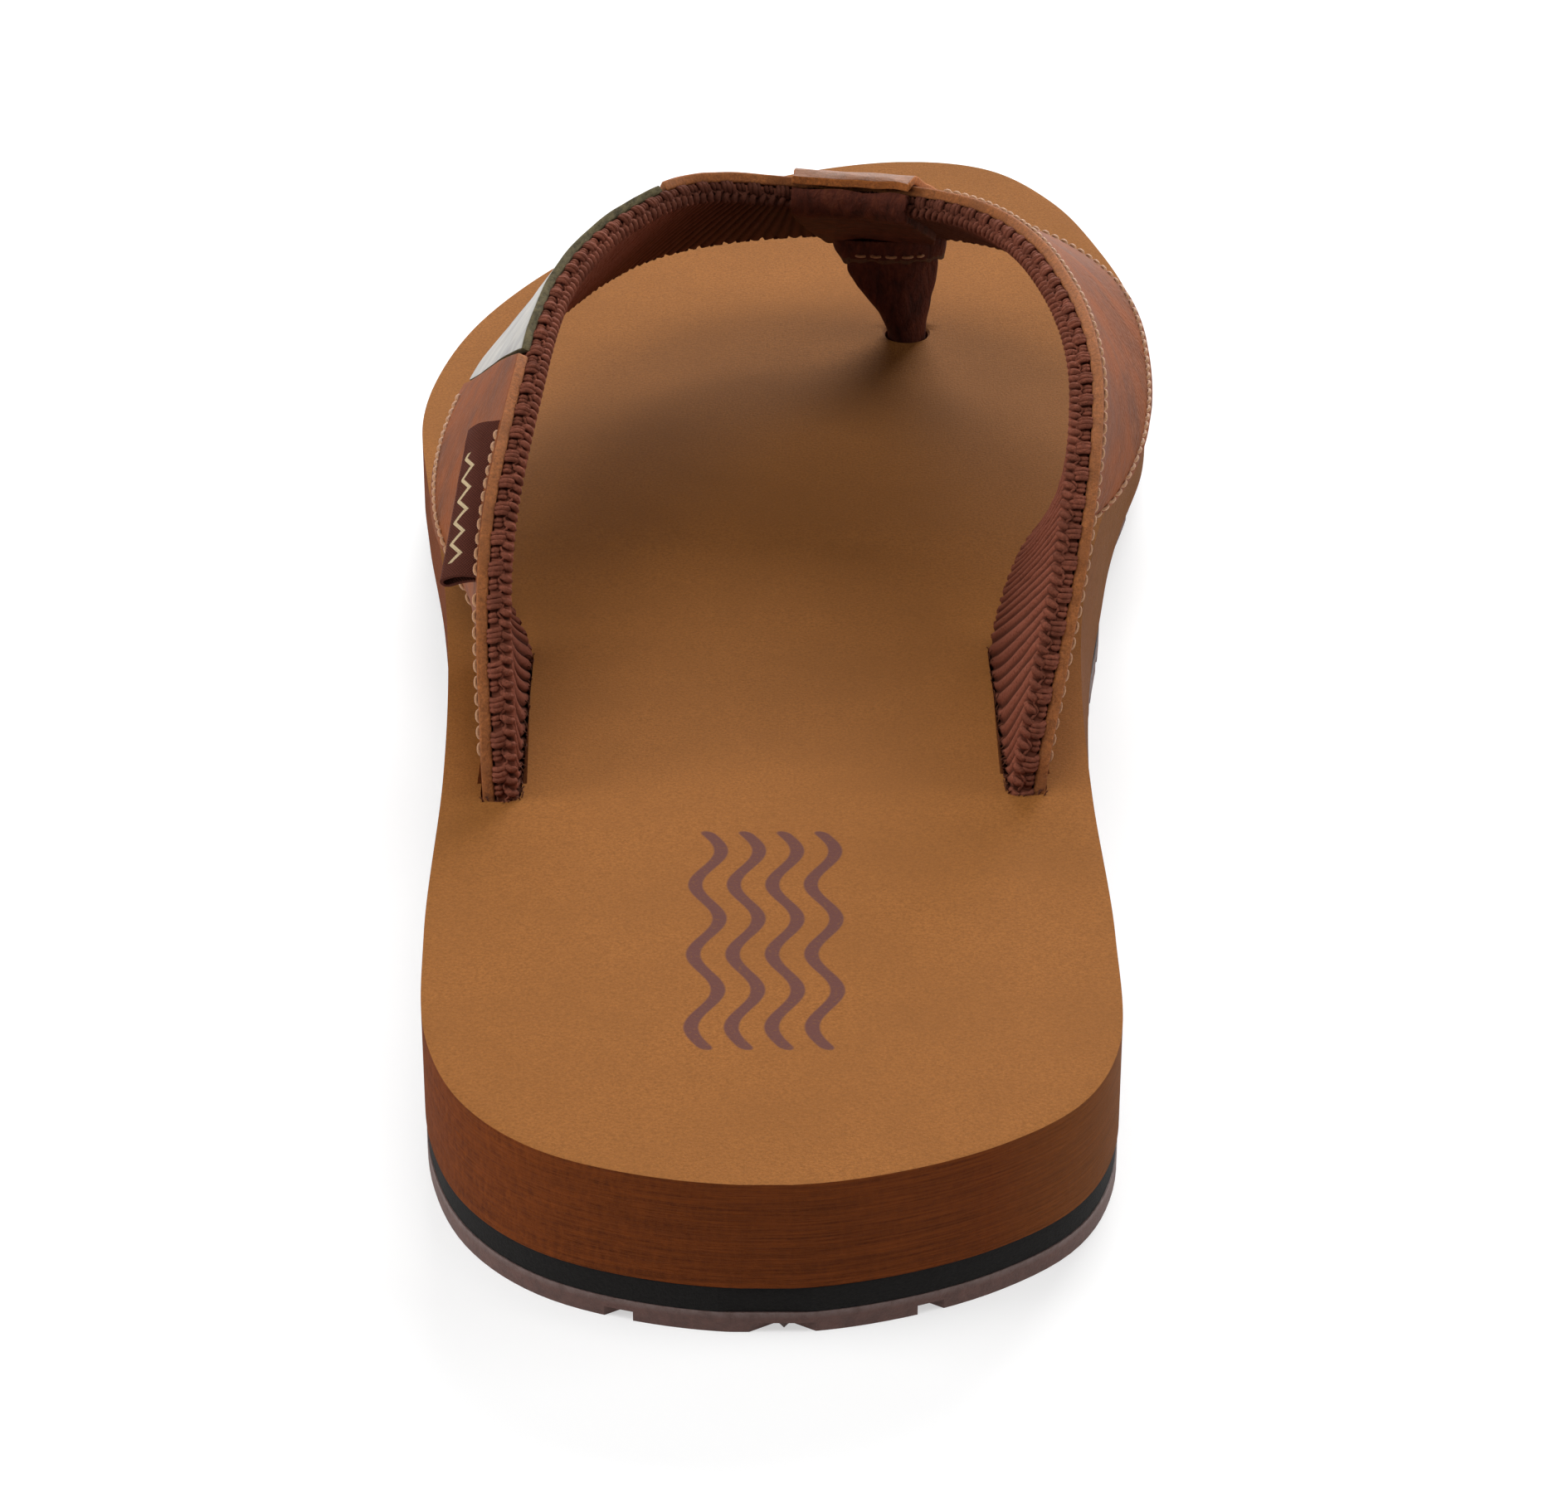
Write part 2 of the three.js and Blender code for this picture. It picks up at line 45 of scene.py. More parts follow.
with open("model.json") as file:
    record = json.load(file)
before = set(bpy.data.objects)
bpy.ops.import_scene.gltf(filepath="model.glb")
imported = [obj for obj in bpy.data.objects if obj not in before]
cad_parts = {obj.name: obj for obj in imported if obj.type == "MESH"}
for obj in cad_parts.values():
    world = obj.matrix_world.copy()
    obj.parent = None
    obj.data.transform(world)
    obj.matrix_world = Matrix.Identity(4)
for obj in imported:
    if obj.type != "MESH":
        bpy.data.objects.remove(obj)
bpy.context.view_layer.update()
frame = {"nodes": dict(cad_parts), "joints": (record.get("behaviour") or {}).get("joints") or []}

# ---------------------------------------------------------------- sizes, in millimetres unless said

MM = 0.001
# The drawing starts at the back of the heel on the sole's midline, and the frame is centred.
DRAWING_SHIFT = Vector((-0.8, -145.25, 0.0))

HEEL_TIP = (0, 0)
TOE_TIP = (20, 290.5)
LATERAL_EDGE = [
    (-14, 1.5), (-27, 6.9), (-35.5, 15.8), (-40.5, 29), (-42.3, 52), (-42.4, 90), (-43.8, 123), (-46.6, 155),
    (-50.4, 182), (-52.3, 202), (-50.8, 218), (-46.5, 234), (-39, 249), (-29, 262.5), (-15, 276.5),
    (2, 286.5),
]
MEDIAL_EDGE = [
    (12, 2.4), (24, 8), (33, 16), (37.8, 27.5), (38.9, 52), (38.1, 85), (38.4, 115), (40.2, 143), (44, 168.5),
    (48.6, 189), (52.6, 207), (53.9, 226), (52.9, 243), (49, 260), (42.5, 276.5), (33, 287.5),
]
LAYER_GAP = 0.2
OUTSOLE_THICKNESS = 2.6
MIDSOLE_THICKNESS = 2.9
FOOTBED_HEEL_THICKNESS = 13.6
FOOTBED_TOE_THICKNESS = 10.6
THINNING_Y = (70, 180)
SPRING_START_Y = 205
SPRING_RISE = 4.5
WAIST_FLARE = 1.3
SHARP_EDGE = math.radians(50)
MIDSOLE_Z = OUTSOLE_THICKNESS + LAYER_GAP
FOOTBED_Z = MIDSOLE_Z + MIDSOLE_THICKNESS + LAYER_GAP

# The strap as (rear edge, front edge) pairs, on the face where leather meets webbing.
STRAP_STATIONS = [
    ((-35.7, 84.8, 19.5), (-36, 126.4, 18.8)),
    ((-36.4, 101, 44), (-41, 132, 26)),
    ((-33.3, 128, 56), (-45.6, 146, 27)),
    ((-29.9, 157, 58), (-45.8, 173, 28)),
    ((-22.2, 182, 56.8), (-38.5, 201.8, 30.3)),
    ((-11.3, 200, 54.2), (-20.6, 228.2, 33.1)),
    ((3.2, 205, 51.2), (5.3, 238, 33.1)),
    ((17, 200, 52.2), (31.8, 230, 34.6)),
    ((27.7, 184, 56), (47.4, 208, 34.3)),
    ((35.2, 160, 58.7), (50.1, 180, 30.5)),
    ((39.2, 131, 56.6), (44.8, 156, 28)),
    ((36.7, 105, 44.6), (33.7, 137, 26.5)),
    ((30.8, 86.5, 19.5), (29.9, 128.3, 18.8)),
]
TAIL_STEPS = [(0, 11), (1.2, 7.6), (4.5, 6.2), (24, 6.2)]  # (inwards, height) below each slot
LAST_STATION = len(STRAP_STATIONS) - 1
WEBBING_THICKNESS = 2.3
LEATHER_THICKNESS = 1.5
PATCH_THICKNESS = 1.2
FACE_GAP = 0.15  # half of the gap between leather and webbing
SLOT_GAP_INSIDE = 0.8
SLOT_GAP_OUTSIDE = 0.15
SLOT_END_MARGIN = 0.5
SLOT_CORNER = 1.9
SLOT_INNER_SIDE = FACE_GAP + WEBBING_THICKNESS + SLOT_GAP_INSIDE  # from the face where leather meets webbing
SLOT_OUTER_SIDE = FACE_GAP + LEATHER_THICKNESS + SLOT_GAP_OUTSIDE
TAIL_RECESS_HEIGHT = 6.8

LATERAL_LEATHER = ((-0.5, 2.2), (-0.5, 3.44))  # stations on the rear edge, then on the front edge
PATCH = ((2.24, 4.56), (3.48, 5.16))
MEDIAL_LEATHER = ((4.6, 12.5), (5.2, 12.5))
REAR_SEAM_INSET = 1.3
FRONT_SEAM_INSET = 2.2
STITCH_PITCH = 2.1
STITCH_LENGTH = 1.6
STITCH_LEAN = 0.1
STITCH_STEPS = 3
THREAD_RADIUS = 0.25
RIB_PITCH = 1.5
RIB_DEPTH = 0.45
RIB_LEAN = (20, 5)  # how much nearer the toe a rib is at the rear edge: by the slots, and away from them
RIB_LEAN_REACH = 32
RIB_TURN_REACH = 30  # how far from the wrap the ribs stop leaning one way and start leaning the other
SLOT_BEND = 0.3  # stations above a slot where the strap bends
TOE_SHADE_REACH = 50  # how far from the toe the webbing's inner face is darkened with painted shade

WRAP_REAR = (6.47, 0.6)  # centre and half length, in stations
WRAP_FRONT = (6.34, 0.29)
WRAP_THICKNESS = 1.3

POST_TOP = {"x": 15.9, "y": 232.8, "z": 32.2, "half_width": 6.8, "half_depth": 2.2}
POST_FOOT = {"x": 18.4, "y": 231.9, "radius": 2.9}
POST_FLARE = (17.0, 28.3)
HOLE_RADIUS = 3.25
ANCHOR_RECESS = (9.2, 8.4)  # radius and height of the washer's recess under the footbed
HEM_Z = (29.3, 32.8)
HEM_THICKNESS = 0.8

TAG_STATIONS = (0.93, 1.72)
TAG_OPENING_ANGLE = 0.75
TAG_TWIST = -0.35
TAG_WIDTH = 3.6
TAG_LOOP = 1.5


# ---------------------------------------------------------------- curves and surfaces

def mix(a, b, share):
    return a + (b - a) * share


def smoothstep(share):
    share = min(max(share, 0.0), 1.0)
    return share * share * (3 - 2 * share)


def smooth_point(points, t):
    """The point at t on a smooth curve through points, with one whole step of t between two of them."""
    last = len(points) - 1
    i = min(max(int(math.floor(t)), 0), last - 1)
    p1, p2 = points[i], points[i + 1]
    p0 = points[i - 1] if i > 0 else 2 * p1 - p2
    p3 = points[i + 2] if i + 2 <= last else 2 * p2 - p1
    d0, d1, d2 = (math.sqrt((b - a).length) for a, b in ((p0, p1), (p1, p2), (p2, p3)))
    leave = ((p1 - p0) / d0 - (p2 - p0) / (d0 + d1) + (p2 - p1) / d1) * d1
    arrive = ((p2 - p1) / d1 - (p3 - p1) / (d1 + d2) + (p3 - p2) / d2) * d1
    s = t - i
    return (
        (2 * s**3 - 3 * s**2 + 1) * p1
        + (s**3 - 2 * s**2 + s) * leave
        + (3 * s**2 - 2 * s**3) * p2
        + (s**3 - s**2) * arrive
    )


def placed(point):
    """A point of the drawing, in the frame and in metres."""
    return (point + DRAWING_SHIFT) * MM


class SoleOutline:
    """Left and right edge of the sole at any distance from the heel."""

    SAMPLES_PER_POINT = 24

    def __init__(self):
        self.sides = [self.sampled(LATERAL_EDGE, MEDIAL_EDGE), self.sampled(MEDIAL_EDGE, LATERAL_EDGE)]

    def sampled(self, edge, other_edge):
        """One side from heel tip to toe tip, on a curve that runs on into the other side."""
        points = [Vector((x, y, 0.0)) for x, y in (other_edge[0], HEEL_TIP, *edge, TOE_TIP, other_edge[-1])]
        count = (len(points) - 3) * self.SAMPLES_PER_POINT
        return [smooth_point(points, 1 + k / self.SAMPLES_PER_POINT) for k in range(count + 1)]

    @lru_cache(maxsize=None)
    def edge_x(self, side, y):
        samples = self.sides[side]
        for before, after in zip(samples, samples[1:]):
            if after.y >= y:
                share = (y - before.y) / max(after.y - before.y, 1e-9)
                return mix(before.x, after.x, min(max(share, 0.0), 1.0))
        return samples[-1].x


OUTLINE = SoleOutline()


def spring(y):
    """How far the toe end has turned up."""
    return SPRING_RISE * max((y - SPRING_START_Y) / (TOE_TIP[1] - SPRING_START_Y), 0.0) ** 2


def footbed_thickness(y):
    share = smoothstep((y - THINNING_Y[0]) / (THINNING_Y[1] - THINNING_Y[0]))
    return mix(FOOTBED_HEEL_THICKNESS, FOOTBED_TOE_THICKNESS, share)


def strap_edge(edge):
    """All the points of one edge of the strap, with the folded tails at both ends."""
    first, last = Vector(STRAP_STATIONS[0][edge]), Vector(STRAP_STATIONS[-1][edge])
    lateral_tail = [Vector((first.x + step, first.y, z)) for step, z in reversed(TAIL_STEPS)]
    medial_tail = [Vector((last.x - step, last.y, z)) for step, z in TAIL_STEPS]
    return [*lateral_tail, *(Vector(pair[edge]) for pair in STRAP_STATIONS), *medial_tail]


REAR_POINTS = strap_edge(0)
FRONT_POINTS = strap_edge(1)


@lru_cache(maxsize=None)
def strap_row(station):
    """The strap's two edges at a station, and the way that each runs there."""
    t = station + len(TAIL_STEPS)
    step = 0.01
    rear, front = smooth_point(REAR_POINTS, t), smooth_point(FRONT_POINTS, t)
    along_rear = smooth_point(REAR_POINTS, t + step) - smooth_point(REAR_POINTS, t - step)
    along_front = smooth_point(FRONT_POINTS, t + step) - smooth_point(FRONT_POINTS, t - step)
    return rear, front, along_rear, along_front


def strap_normal(station, w):
    rear, front, along_rear, along_front = strap_row(round(station, 5))
    return along_rear.lerp(along_front, w).cross(front - rear).normalized()


def on_strap(station, w, height):
    """A point w of the way from the rear edge to the front one, raised outwards by height."""
    rear, front, _, _ = strap_row(round(station, 5))
    return rear.lerp(front, w) + strap_normal(station, w) * height


def strap_width(station):
    rear, front, _, _ = strap_row(round(station, 5))
    return (front - rear).length


RULER_STEP = 0.02
RULER_START = -len(TAIL_STEPS)


@lru_cache(maxsize=None)
def ruler(w):
    """Lengths along the strap from its first end, at even steps of station."""
    count = round((LAST_STATION + 2 * len(TAIL_STEPS)) / RULER_STEP)
    points = [on_strap(RULER_START + k * RULER_STEP, w, 0.0) for k in range(count + 1)]
    lengths = [0.0]
    for a, b in zip(points, points[1:]):
        lengths.append(lengths[-1] + (b - a).length)
    return lengths


def length_at(station, w):
    lengths = ruler(w)
    t = min(max((station - RULER_START) / RULER_STEP, 0.0), len(lengths) - 1.001)
    return mix(lengths[int(t)], lengths[int(t) + 1], t - int(t))


def station_at(length, w):
    lengths = ruler(w)
    k = min(max(bisect_left(lengths, length), 1), len(lengths) - 1)
    share = (length - lengths[k - 1]) / (lengths[k] - lengths[k - 1])
    return RULER_START + (k - 1 + min(max(share, 0.0), 1.0)) * RULER_STEP


def strap_length(stations, w=0.5, steps=60):
    """Length along the strap between two stations."""
    points = [on_strap(mix(*stations, k / steps), w, 0.0) for k in range(steps + 1)]
    return sum((b - a).length for a, b in zip(points, points[1:]))


# ---------------------------------------------------------------- mesh tools

def mesh_of(name, bm):
    """A mesh made of a bmesh, which is freed."""
    mesh = bpy.data.meshes.new(name)
    bm.to_mesh(mesh)
    bm.free()
    return mesh


def linked(name, data):
    """A new object in the scene."""
    made = bpy.data.objects.new(name, data)
    bpy.context.collection.objects.link(made)
    return made


def finish_piece(name, bm, materials, slot, **ways):
    """Turns a bmesh into a piece of the object that rides on a body."""
    return piece_from_mesh(name, mesh_of(name, bm), materials, slot, **ways)


def piece_from_mesh(name, mesh, materials, slot, body="sandal", replaces=(), sharp=None):
    for polygon in mesh.polygons:
        polygon.use_smooth = True
    if sharp is not None:
        mesh.set_sharp_from_angle(angle=sharp)
    for material in materials:
        mesh.materials.append(material)
    piece = linked(name, mesh)
    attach(piece, body)
    if replaces:
        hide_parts(*replaces)
    return piece


def slab(columns, rows):
    """A closed box one unit each way, centred on x and y and standing on z = 0, with columns and rows."""
    bm = bmesh.new()
    bmesh.ops.create_grid(bm, x_segments=columns, y_segments=rows, size=0.5)
    raised = bmesh.ops.extrude_face_region(bm, geom=bm.faces[:])["geom"]
    top = [item for item in raised if isinstance(item, bmesh.types.BMVert)]
    bmesh.ops.translate(bm, verts=top, vec=(0, 0, 1))
    bmesh.ops.recalc_face_normals(bm, faces=bm.faces[:])
    return bm


def round_edges(bm, offset):
    """Bevels every sharp edge."""
    edges = [e for e in bm.edges if len(e.link_faces) == 2 and e.calc_face_angle(0) > SHARP_EDGE]
    bmesh.ops.bevel(
        bm, geom=edges, offset=offset, offset_type="OFFSET", segments=3,
        profile=0.5, affect="EDGES", clamp_overlap=True, material=-1,
    )


def joined(meshes):
    """One bmesh out of several meshes, which are removed."""
    whole = bmesh.new()
    for mesh in meshes:
        whole.from_mesh(mesh)
        bpy.data.meshes.remove(mesh)
    return whole


def cut(piece, cutter_bm):
    """Takes a solid away from a piece."""
    cutter = linked("cutter", mesh_of("cutter", cutter_bm))
    modifier = piece.modifiers.new("cut", "BOOLEAN")
    modifier.operation = "DIFFERENCE"
    modifier.solver = "EXACT"
    modifier.object = cutter
    depsgraph = bpy.context.evaluated_depsgraph_get()
    result = bpy.data.meshes.new_from_object(piece.evaluated_get(depsgraph))
    piece.modifiers.clear()
    old = piece.data
    piece.data = result
    bpy.data.meshes.remove(old)
    bpy.data.objects.remove(cutter)


def tubes(name, paths, radius, sides=2):
    """A mesh of tubes along paths of points in metres, rounder with more sides."""
    curve = bpy.data.curves.new(name, "CURVE")
    curve.dimensions = "3D"
    curve.bevel_depth = radius
    curve.bevel_resolution = sides
    curve.use_fill_caps = True
    for path in paths:
        spline = curve.splines.new("POLY")
        spline.points.add(len(path) - 1)
        for point, place in zip(spline.points, path):
            point.co = (*place, 1.0)
    holder = linked(name, curve)
    depsgraph = bpy.context.evaluated_depsgraph_get()
    mesh = bpy.data.meshes.new_from_object(holder.evaluated_get(depsgraph))
    bpy.data.objects.remove(holder)
    bpy.data.curves.remove(curve)
    return mesh


# ---------------------------------------------------------------- materials

class Surface:
    """A material's node tree, with short ways to add the nodes that these finishes use."""

    def __init__(self, name, roughness=0.8, **shader_values):
        self.material = bpy.data.materials.new(name)
        self.material.use_nodes = True
        self.tree = self.material.node_tree
        self.shader = self.tree.nodes["Principled BSDF"]
        self.shader.inputs["Roughness"].default_value = roughness
        for socket, value in shader_values.items():
            self.shader.inputs[socket.replace("_", " ")].default_value = value
        self.coordinates = self.tree.nodes.new("ShaderNodeTexCoord")

    def node(self, kind, inputs=(), **settings):
        """A node whose numbered inputs are set or linked, and whose settings are set."""
        made = self.tree.nodes.new(kind)
        for key, value in settings.items():
            setattr(made, key, value)
        for socket, value in dict(inputs).items():
            if isinstance(value, bpy.types.NodeSocket):
                self.tree.links.new(value, made.inputs[socket])
            else:
                made.inputs[socket].default_value = value
        return made

    def math(self, operation, a, b=0.0):
        return self.node("ShaderNodeMath", {0: a, 1: b}, operation=operation).outputs[0]

    def space(self, kind, scale):
        """Coordinates of one kind in millimetres, stretched by scale."""
        inputs = {"Vector": self.coordinates.outputs[kind], "Scale": [s / MM for s in scale]}
        return self.node("ShaderNodeMapping", inputs).outputs[0]

    def object_space(self, scale=(1, 1, 1)):
        return self.space("Object", scale)

    def flat_space(self, scale=(1, 1, 1)):
        """The piece's own flat map, along and across."""
        return self.space("UV", scale)

    def noise(self, space, scale, detail=2.0, roughness=0.5, distortion=0.0):
        made = {"Vector": space, "Scale": scale, "Detail": detail, "Roughness": roughness}
        return self.node("ShaderNodeTexNoise", {**made, "Distortion": distortion}).outputs["Fac"]

    def cells(self, space, scale):
        return self.node("ShaderNodeTexVoronoi", {"Vector": space, "Scale": scale}).outputs["Distance"]

    def ramp(self, value, low, high, to_low=0.0, to_high=1.0):
        """value taken from low..high to to_low..to_high, and held there."""
        taken = {"Value": value, "From Min": low, "From Max": high, "To Min": to_low, "To Max": to_high}
        return self.node("ShaderNodeMapRange", taken).outputs["Result"]

    def blend(self, share, first, second):
        """A colour that goes from the first to the second with share. Sockets 6 and 7 hold the colours."""
        return self.node("ShaderNodeMix", {0: share, 6: first, 7: second}, data_type="RGBA").outputs[2]

    def shades(self, share, colour, dark, light):
        """A colour that goes from a darker tone of itself to a lighter one with share."""
        return self.blend(share, tone(colour, dark), tone(colour, light))

    def colour(self, socket):
        self.tree.links.new(socket, self.shader.inputs["Base Color"])

    def rough(self, socket):
        self.tree.links.new(socket, self.shader.inputs["Roughness"])

    def bump(self, heights):
        """Stacks (height socket, depth in millimetres) pairs into the shader's normal."""
        normal = None
        for height, depth in heights:
            made = self.node("ShaderNodeBump", {"Height": height, "Distance": depth * MM, "Strength": 1.0})
            if normal:
                self.tree.links.new(normal, made.inputs["Normal"])
            normal = made.outputs[0]
        self.tree.links.new(normal, self.shader.inputs["Normal"])

    def facing_up(self):
        """Near 1 where the surface looks up, 0 on its walls."""
        geometry = self.node("ShaderNodeNewGeometry")
        z = self.node("ShaderNodeSeparateXYZ", {0: geometry.outputs["True Normal"]}).outputs[2]
        return self.ramp(z, 0.45, 0.9)

    def axes(self, space):
        made = self.node("ShaderNodeSeparateXYZ", {0: space})
        return made.outputs[0], made.outputs[1], made.outputs[2]


def tone(colour, factor=1.0):
    return (*(channel * factor for channel in colour[:3]), 1.0)


def foam_material(settings):
    """Brushed tan foam: a fine nap on top, a ground wall with sanding lines that is darker partly by painted
    shade, and the ink print.
    """
    s = Surface("footbed_foam", roughness=0.92, Specular_IOR_Level=0.12)
    space = s.object_space()
    speckle = s.noise(space, 2.6, detail=3.0, roughness=0.75)
    clouds = s.noise(space, 0.05, detail=4.0, roughness=0.6)
    flecks = s.ramp(s.noise(space, 5.5, detail=1.0), 0.66, 0.74)
    base = s.shades(s.ramp(speckle, 0.3, 0.7), settings.foam, 0.74, 1.22)
    base = s.blend(s.ramp(clouds, 0.35, 0.7, 0.0, 0.6), base, tone(settings.foam, 0.82))
    base = s.blend(s.math("MULTIPLY", flecks, 0.35), base, tone(settings.foam, 1.6))
    wall = foam_wall(s, settings)
    top = s.blend(heel_print(s, space), base, tone(settings.ink))
    # Walls take the darker wall colour, which is partly painted shade; the top takes the foam colour.
    s.colour(s.blend(s.facing_up(), wall, top))
    nap = s.noise(space, 2.8, detail=4.0, roughness=0.75)
    sanding = s.noise(s.object_space((0.1, 0.1, 2.4)), 1.0, detail=4.0, roughness=0.8)
    sanding = s.math("MULTIPLY", sanding, s.math("SUBTRACT", 1.0, s.facing_up()))
    s.bump([(nap, 0.16), (sanding, 0.5)])
    return s.material


def foam_wall(s, settings):
    """Colour of the foam's ground wall, darker than the top partly by painted shade: sanding lines, with
    longer fibres on the outer side.
    """
    streaks = s.noise(s.object_space((0.08, 0.08, 3.6)), 1.0, detail=5.0, roughness=0.8)
    fibres = s.noise(s.object_space((1.0, 1.0, 0.45)), 1.3, detail=4.0, roughness=0.8)
    x, _, _ = s.axes(s.object_space())
    wall = s.shades(s.ramp(streaks, 0.38, 0.62), settings.foam_wall, 0.62, 1.25)
    hairy = s.math("MULTIPLY", s.ramp(fibres, 0.4, 0.65), s.ramp(x, -5, -32, 0.25, 0.8))
    wall = s.blend(hairy, wall, tone(settings.foam_wall, 1.5))
    return s.blend(s.ramp(x, 22, 44, 0.0, 0.55), wall, tone(settings.foam_wall_inner))


def heel_print(s, space):
    """Mask of the print under the heel: four wavy lines with round ends."""
    lines, half_width, spacing = 4, 0.85, 4.6
    centre = Vector((-2.2, 52.0, 0)) + DRAWING_SHIFT
    half_length, swing, wave_length = 24.0, 1.5, 16.0
    x, y, _ = s.axes(space)
    x = s.math("SUBTRACT", x, centre.x)
    y = s.math("SUBTRACT", y, centre.y)
    wave = s.math("MULTIPLY", s.math("SINE", s.math("MULTIPLY", y, math.tau / wave_length)), swing)
    x = s.math("SUBTRACT", x, wave)
    beyond = s.math("MAXIMUM", s.math("SUBTRACT", s.math("ABSOLUTE", y), half_length), 0.0)
    mask = None
    for k in range(lines):
        off = s.math("SUBTRACT", x, (k - (lines - 1) / 2) * spacing)
        square = s.math("ADD", s.math("MULTIPLY", off, off), s.math("MULTIPLY", beyond, beyond))
        ink = s.ramp(s.math("SQRT", square), half_width + 0.12, half_width - 0.12)
        mask = ink if mask is None else s.math("MAXIMUM", mask, ink)
    pores = s.ramp(s.noise(space, 2.6, detail=3.0, roughness=0.7), 0.3, 0.45, 0.55, 0.96)
    return s.math("MULTIPLY", mask, pores)


def midsole_material(settings):
    s = Surface("midsole_foam", roughness=0.85, Specular_IOR_Level=0.2)
    space = s.object_space()
    grain = s.noise(s.object_space((1, 1, 2)), 2.2, detail=4.0, roughness=0.7)
    s.colour(s.shades(s.ramp(grain, 0.35, 0.7), settings.midsole, 0.7, 1.7))
    s.bump([(s.noise(space, 2.5, detail=4.0, roughness=0.7), 0.15)])
    return s.material


def outsole_material(settings):
    """Moulded rubber with a paler grey bead along its upper rim: partly dust, partly a painted highlight on
    the rim.
    """
    s = Surface("outsole_rubber", roughness=0.62)
    space = s.object_space()
    _, _, z = s.axes(space)
    mottle = s.noise(space, 0.8, detail=5.0, roughness=0.7)
    base = s.shades(s.ramp(mottle, 0.35, 0.65), settings.rubber, 0.78, 1.2)
    # A paler grey bead along the upper rim: painted highlight, mottled like dust.
    dust_and_highlight = s.math("MULTIPLY", s.ramp(z, 1.7, 2.4), s.ramp(mottle, 0.3, 0.6, 0.15, 0.7))
    s.colour(s.blend(dust_and_highlight, base, tone(settings.rubber_dust_and_highlight)))
    s.bump([(s.noise(space, 1.6, detail=5.0, roughness=0.75), 0.2)])
    return s.material


def webbing_material(settings):
    """Coarse twill whose ribs are real: the grooves between them are darkened with painted shade, and yarns
    cross them.
    """
    s = Surface("webbing", roughness=0.9, Specular_IOR_Level=0.1)
    relief_shade = s.node("ShaderNodeAttribute", attribute_name="relief_shade").outputs["Fac"]
    fibre = s.noise(s.flat_space(), 2.2, detail=5.0, roughness=0.75)
    yarn = s.noise(s.flat_space((1.2, 0.5, 1)), 2.4, detail=2.0)
    # Painted shade: the relief attribute darkens the grooves between the ribs, and the inner face near the
    # toe.
    base = s.shades(s.ramp(relief_shade, 0.1, 0.75), settings.webbing, 0.22, 1.15)
    fluff = s.math("MULTIPLY", s.ramp(fibre, 0.4, 0.72, 0.0, 0.55), relief_shade)
    base = s.blend(fluff, base, tone(settings.webbing, 1.6))
    s.colour(s.blend(s.ramp(yarn, 0.45, 0.3, 0.0, 0.5), base, tone(settings.webbing, 0.5)))
    s.bump([(yarn, 0.3), (fibre, 0.2)])
    return s.material


def braid_material(settings):
    """Yarn of the webbing's woven edges, darkened with painted shade towards the toe."""
    s = Surface("webbing_edge_yarn", roughness=0.9, Specular_IOR_Level=0.1)
    space = s.object_space()
    _, y, _ = s.axes(space)
    fibre = s.noise(space, 2.0, detail=5.0, roughness=0.8)
    tint = s.noise(space, 0.35, detail=2.0)
    base = s.shades(s.ramp(fibre, 0.3, 0.7), settings.webbing, 0.55, 1.5)
    base = s.blend(s.ramp(tint, 0.4, 0.65, 0.0, 0.6), base, tone(settings.webbing, 0.6))
    # Painted shade: the yarns darken towards the toe, where the strap's underside lies in shade.
    s.colour(s.blend(s.ramp(y, 30.0, 62.0, 0.0, 0.85), base, tone(settings.webbing, 0.22)))
    s.bump([(fibre, 0.25)])
    return s.material


def leather_material(settings):
    """Waxed leather: grain, paler patches that are partly rubbed wear and partly painted sheen, and darker
    red-brown blotches.
    """
    s = Surface("strap_leather", roughness=0.7, Specular_IOR_Level=0.06)
    space = s.object_space()
    clouds = s.noise(space, 0.10, detail=5.0, roughness=0.65, distortion=0.6)
    scuffs_and_sheen = s.noise(s.flat_space((0.7, 1.0, 1)), 0.4, detail=4.0, roughness=0.7)
    pores = s.cells(space, 1.5)
    base = s.shades(s.ramp(clouds, 0.35, 0.62), settings.leather, 0.66, 1.12)
    # Paler patches: partly rubbed wear, partly painted sheen.
    base = s.blend(s.ramp(scuffs_and_sheen, 0.5, 0.75, 0.0, 0.55), base, tone(settings.leather_bloom_and_sheen))
    s.colour(s.blend(s.ramp(pores, 0.0, 0.35, 0.25, 0.0), base, tone(settings.leather, 0.5)))
    s.rough(s.ramp(clouds, 0.3, 0.7, 0.6, 0.8))
    s.bump([(pores, 0.1), (s.noise(space, 1.2, detail=5.0), 0.25)])
    return s.material


def raw_edge_material(colour, name):
    """The fibrous raw edge of leather or foam."""
    s = Surface(name, roughness=0.9)
    space = s.object_space()
    fibre = s.noise(space, 2.0, detail=5.0, roughness=0.8)
    stain = s.noise(space, 0.25, detail=3.0)
    base = s.shades(s.ramp(fibre, 0.32, 0.68), colour, 0.5, 1.3)
    s.colour(s.blend(s.ramp(stain, 0.5, 0.7, 0.0, 0.5), base, tone(colour, 0.6)))
    s.bump([(fibre, 0.45)])
    return s.material


def film_edge_material(settings):
    """The layered cut edge of the printed film."""
    s = Surface("film_cut_edge", roughness=0.9, Specular_IOR_Level=0.1)
    fibre = s.noise(s.object_space((0.6, 0.6, 2.5)), 0.9, detail=4.0, roughness=0.7)
    s.colour(s.shades(s.ramp(fibre, 0.35, 0.62), settings.film_olive, 0.6, 1.5))
    s.bump([(fibre, 0.3)])
    return s.material


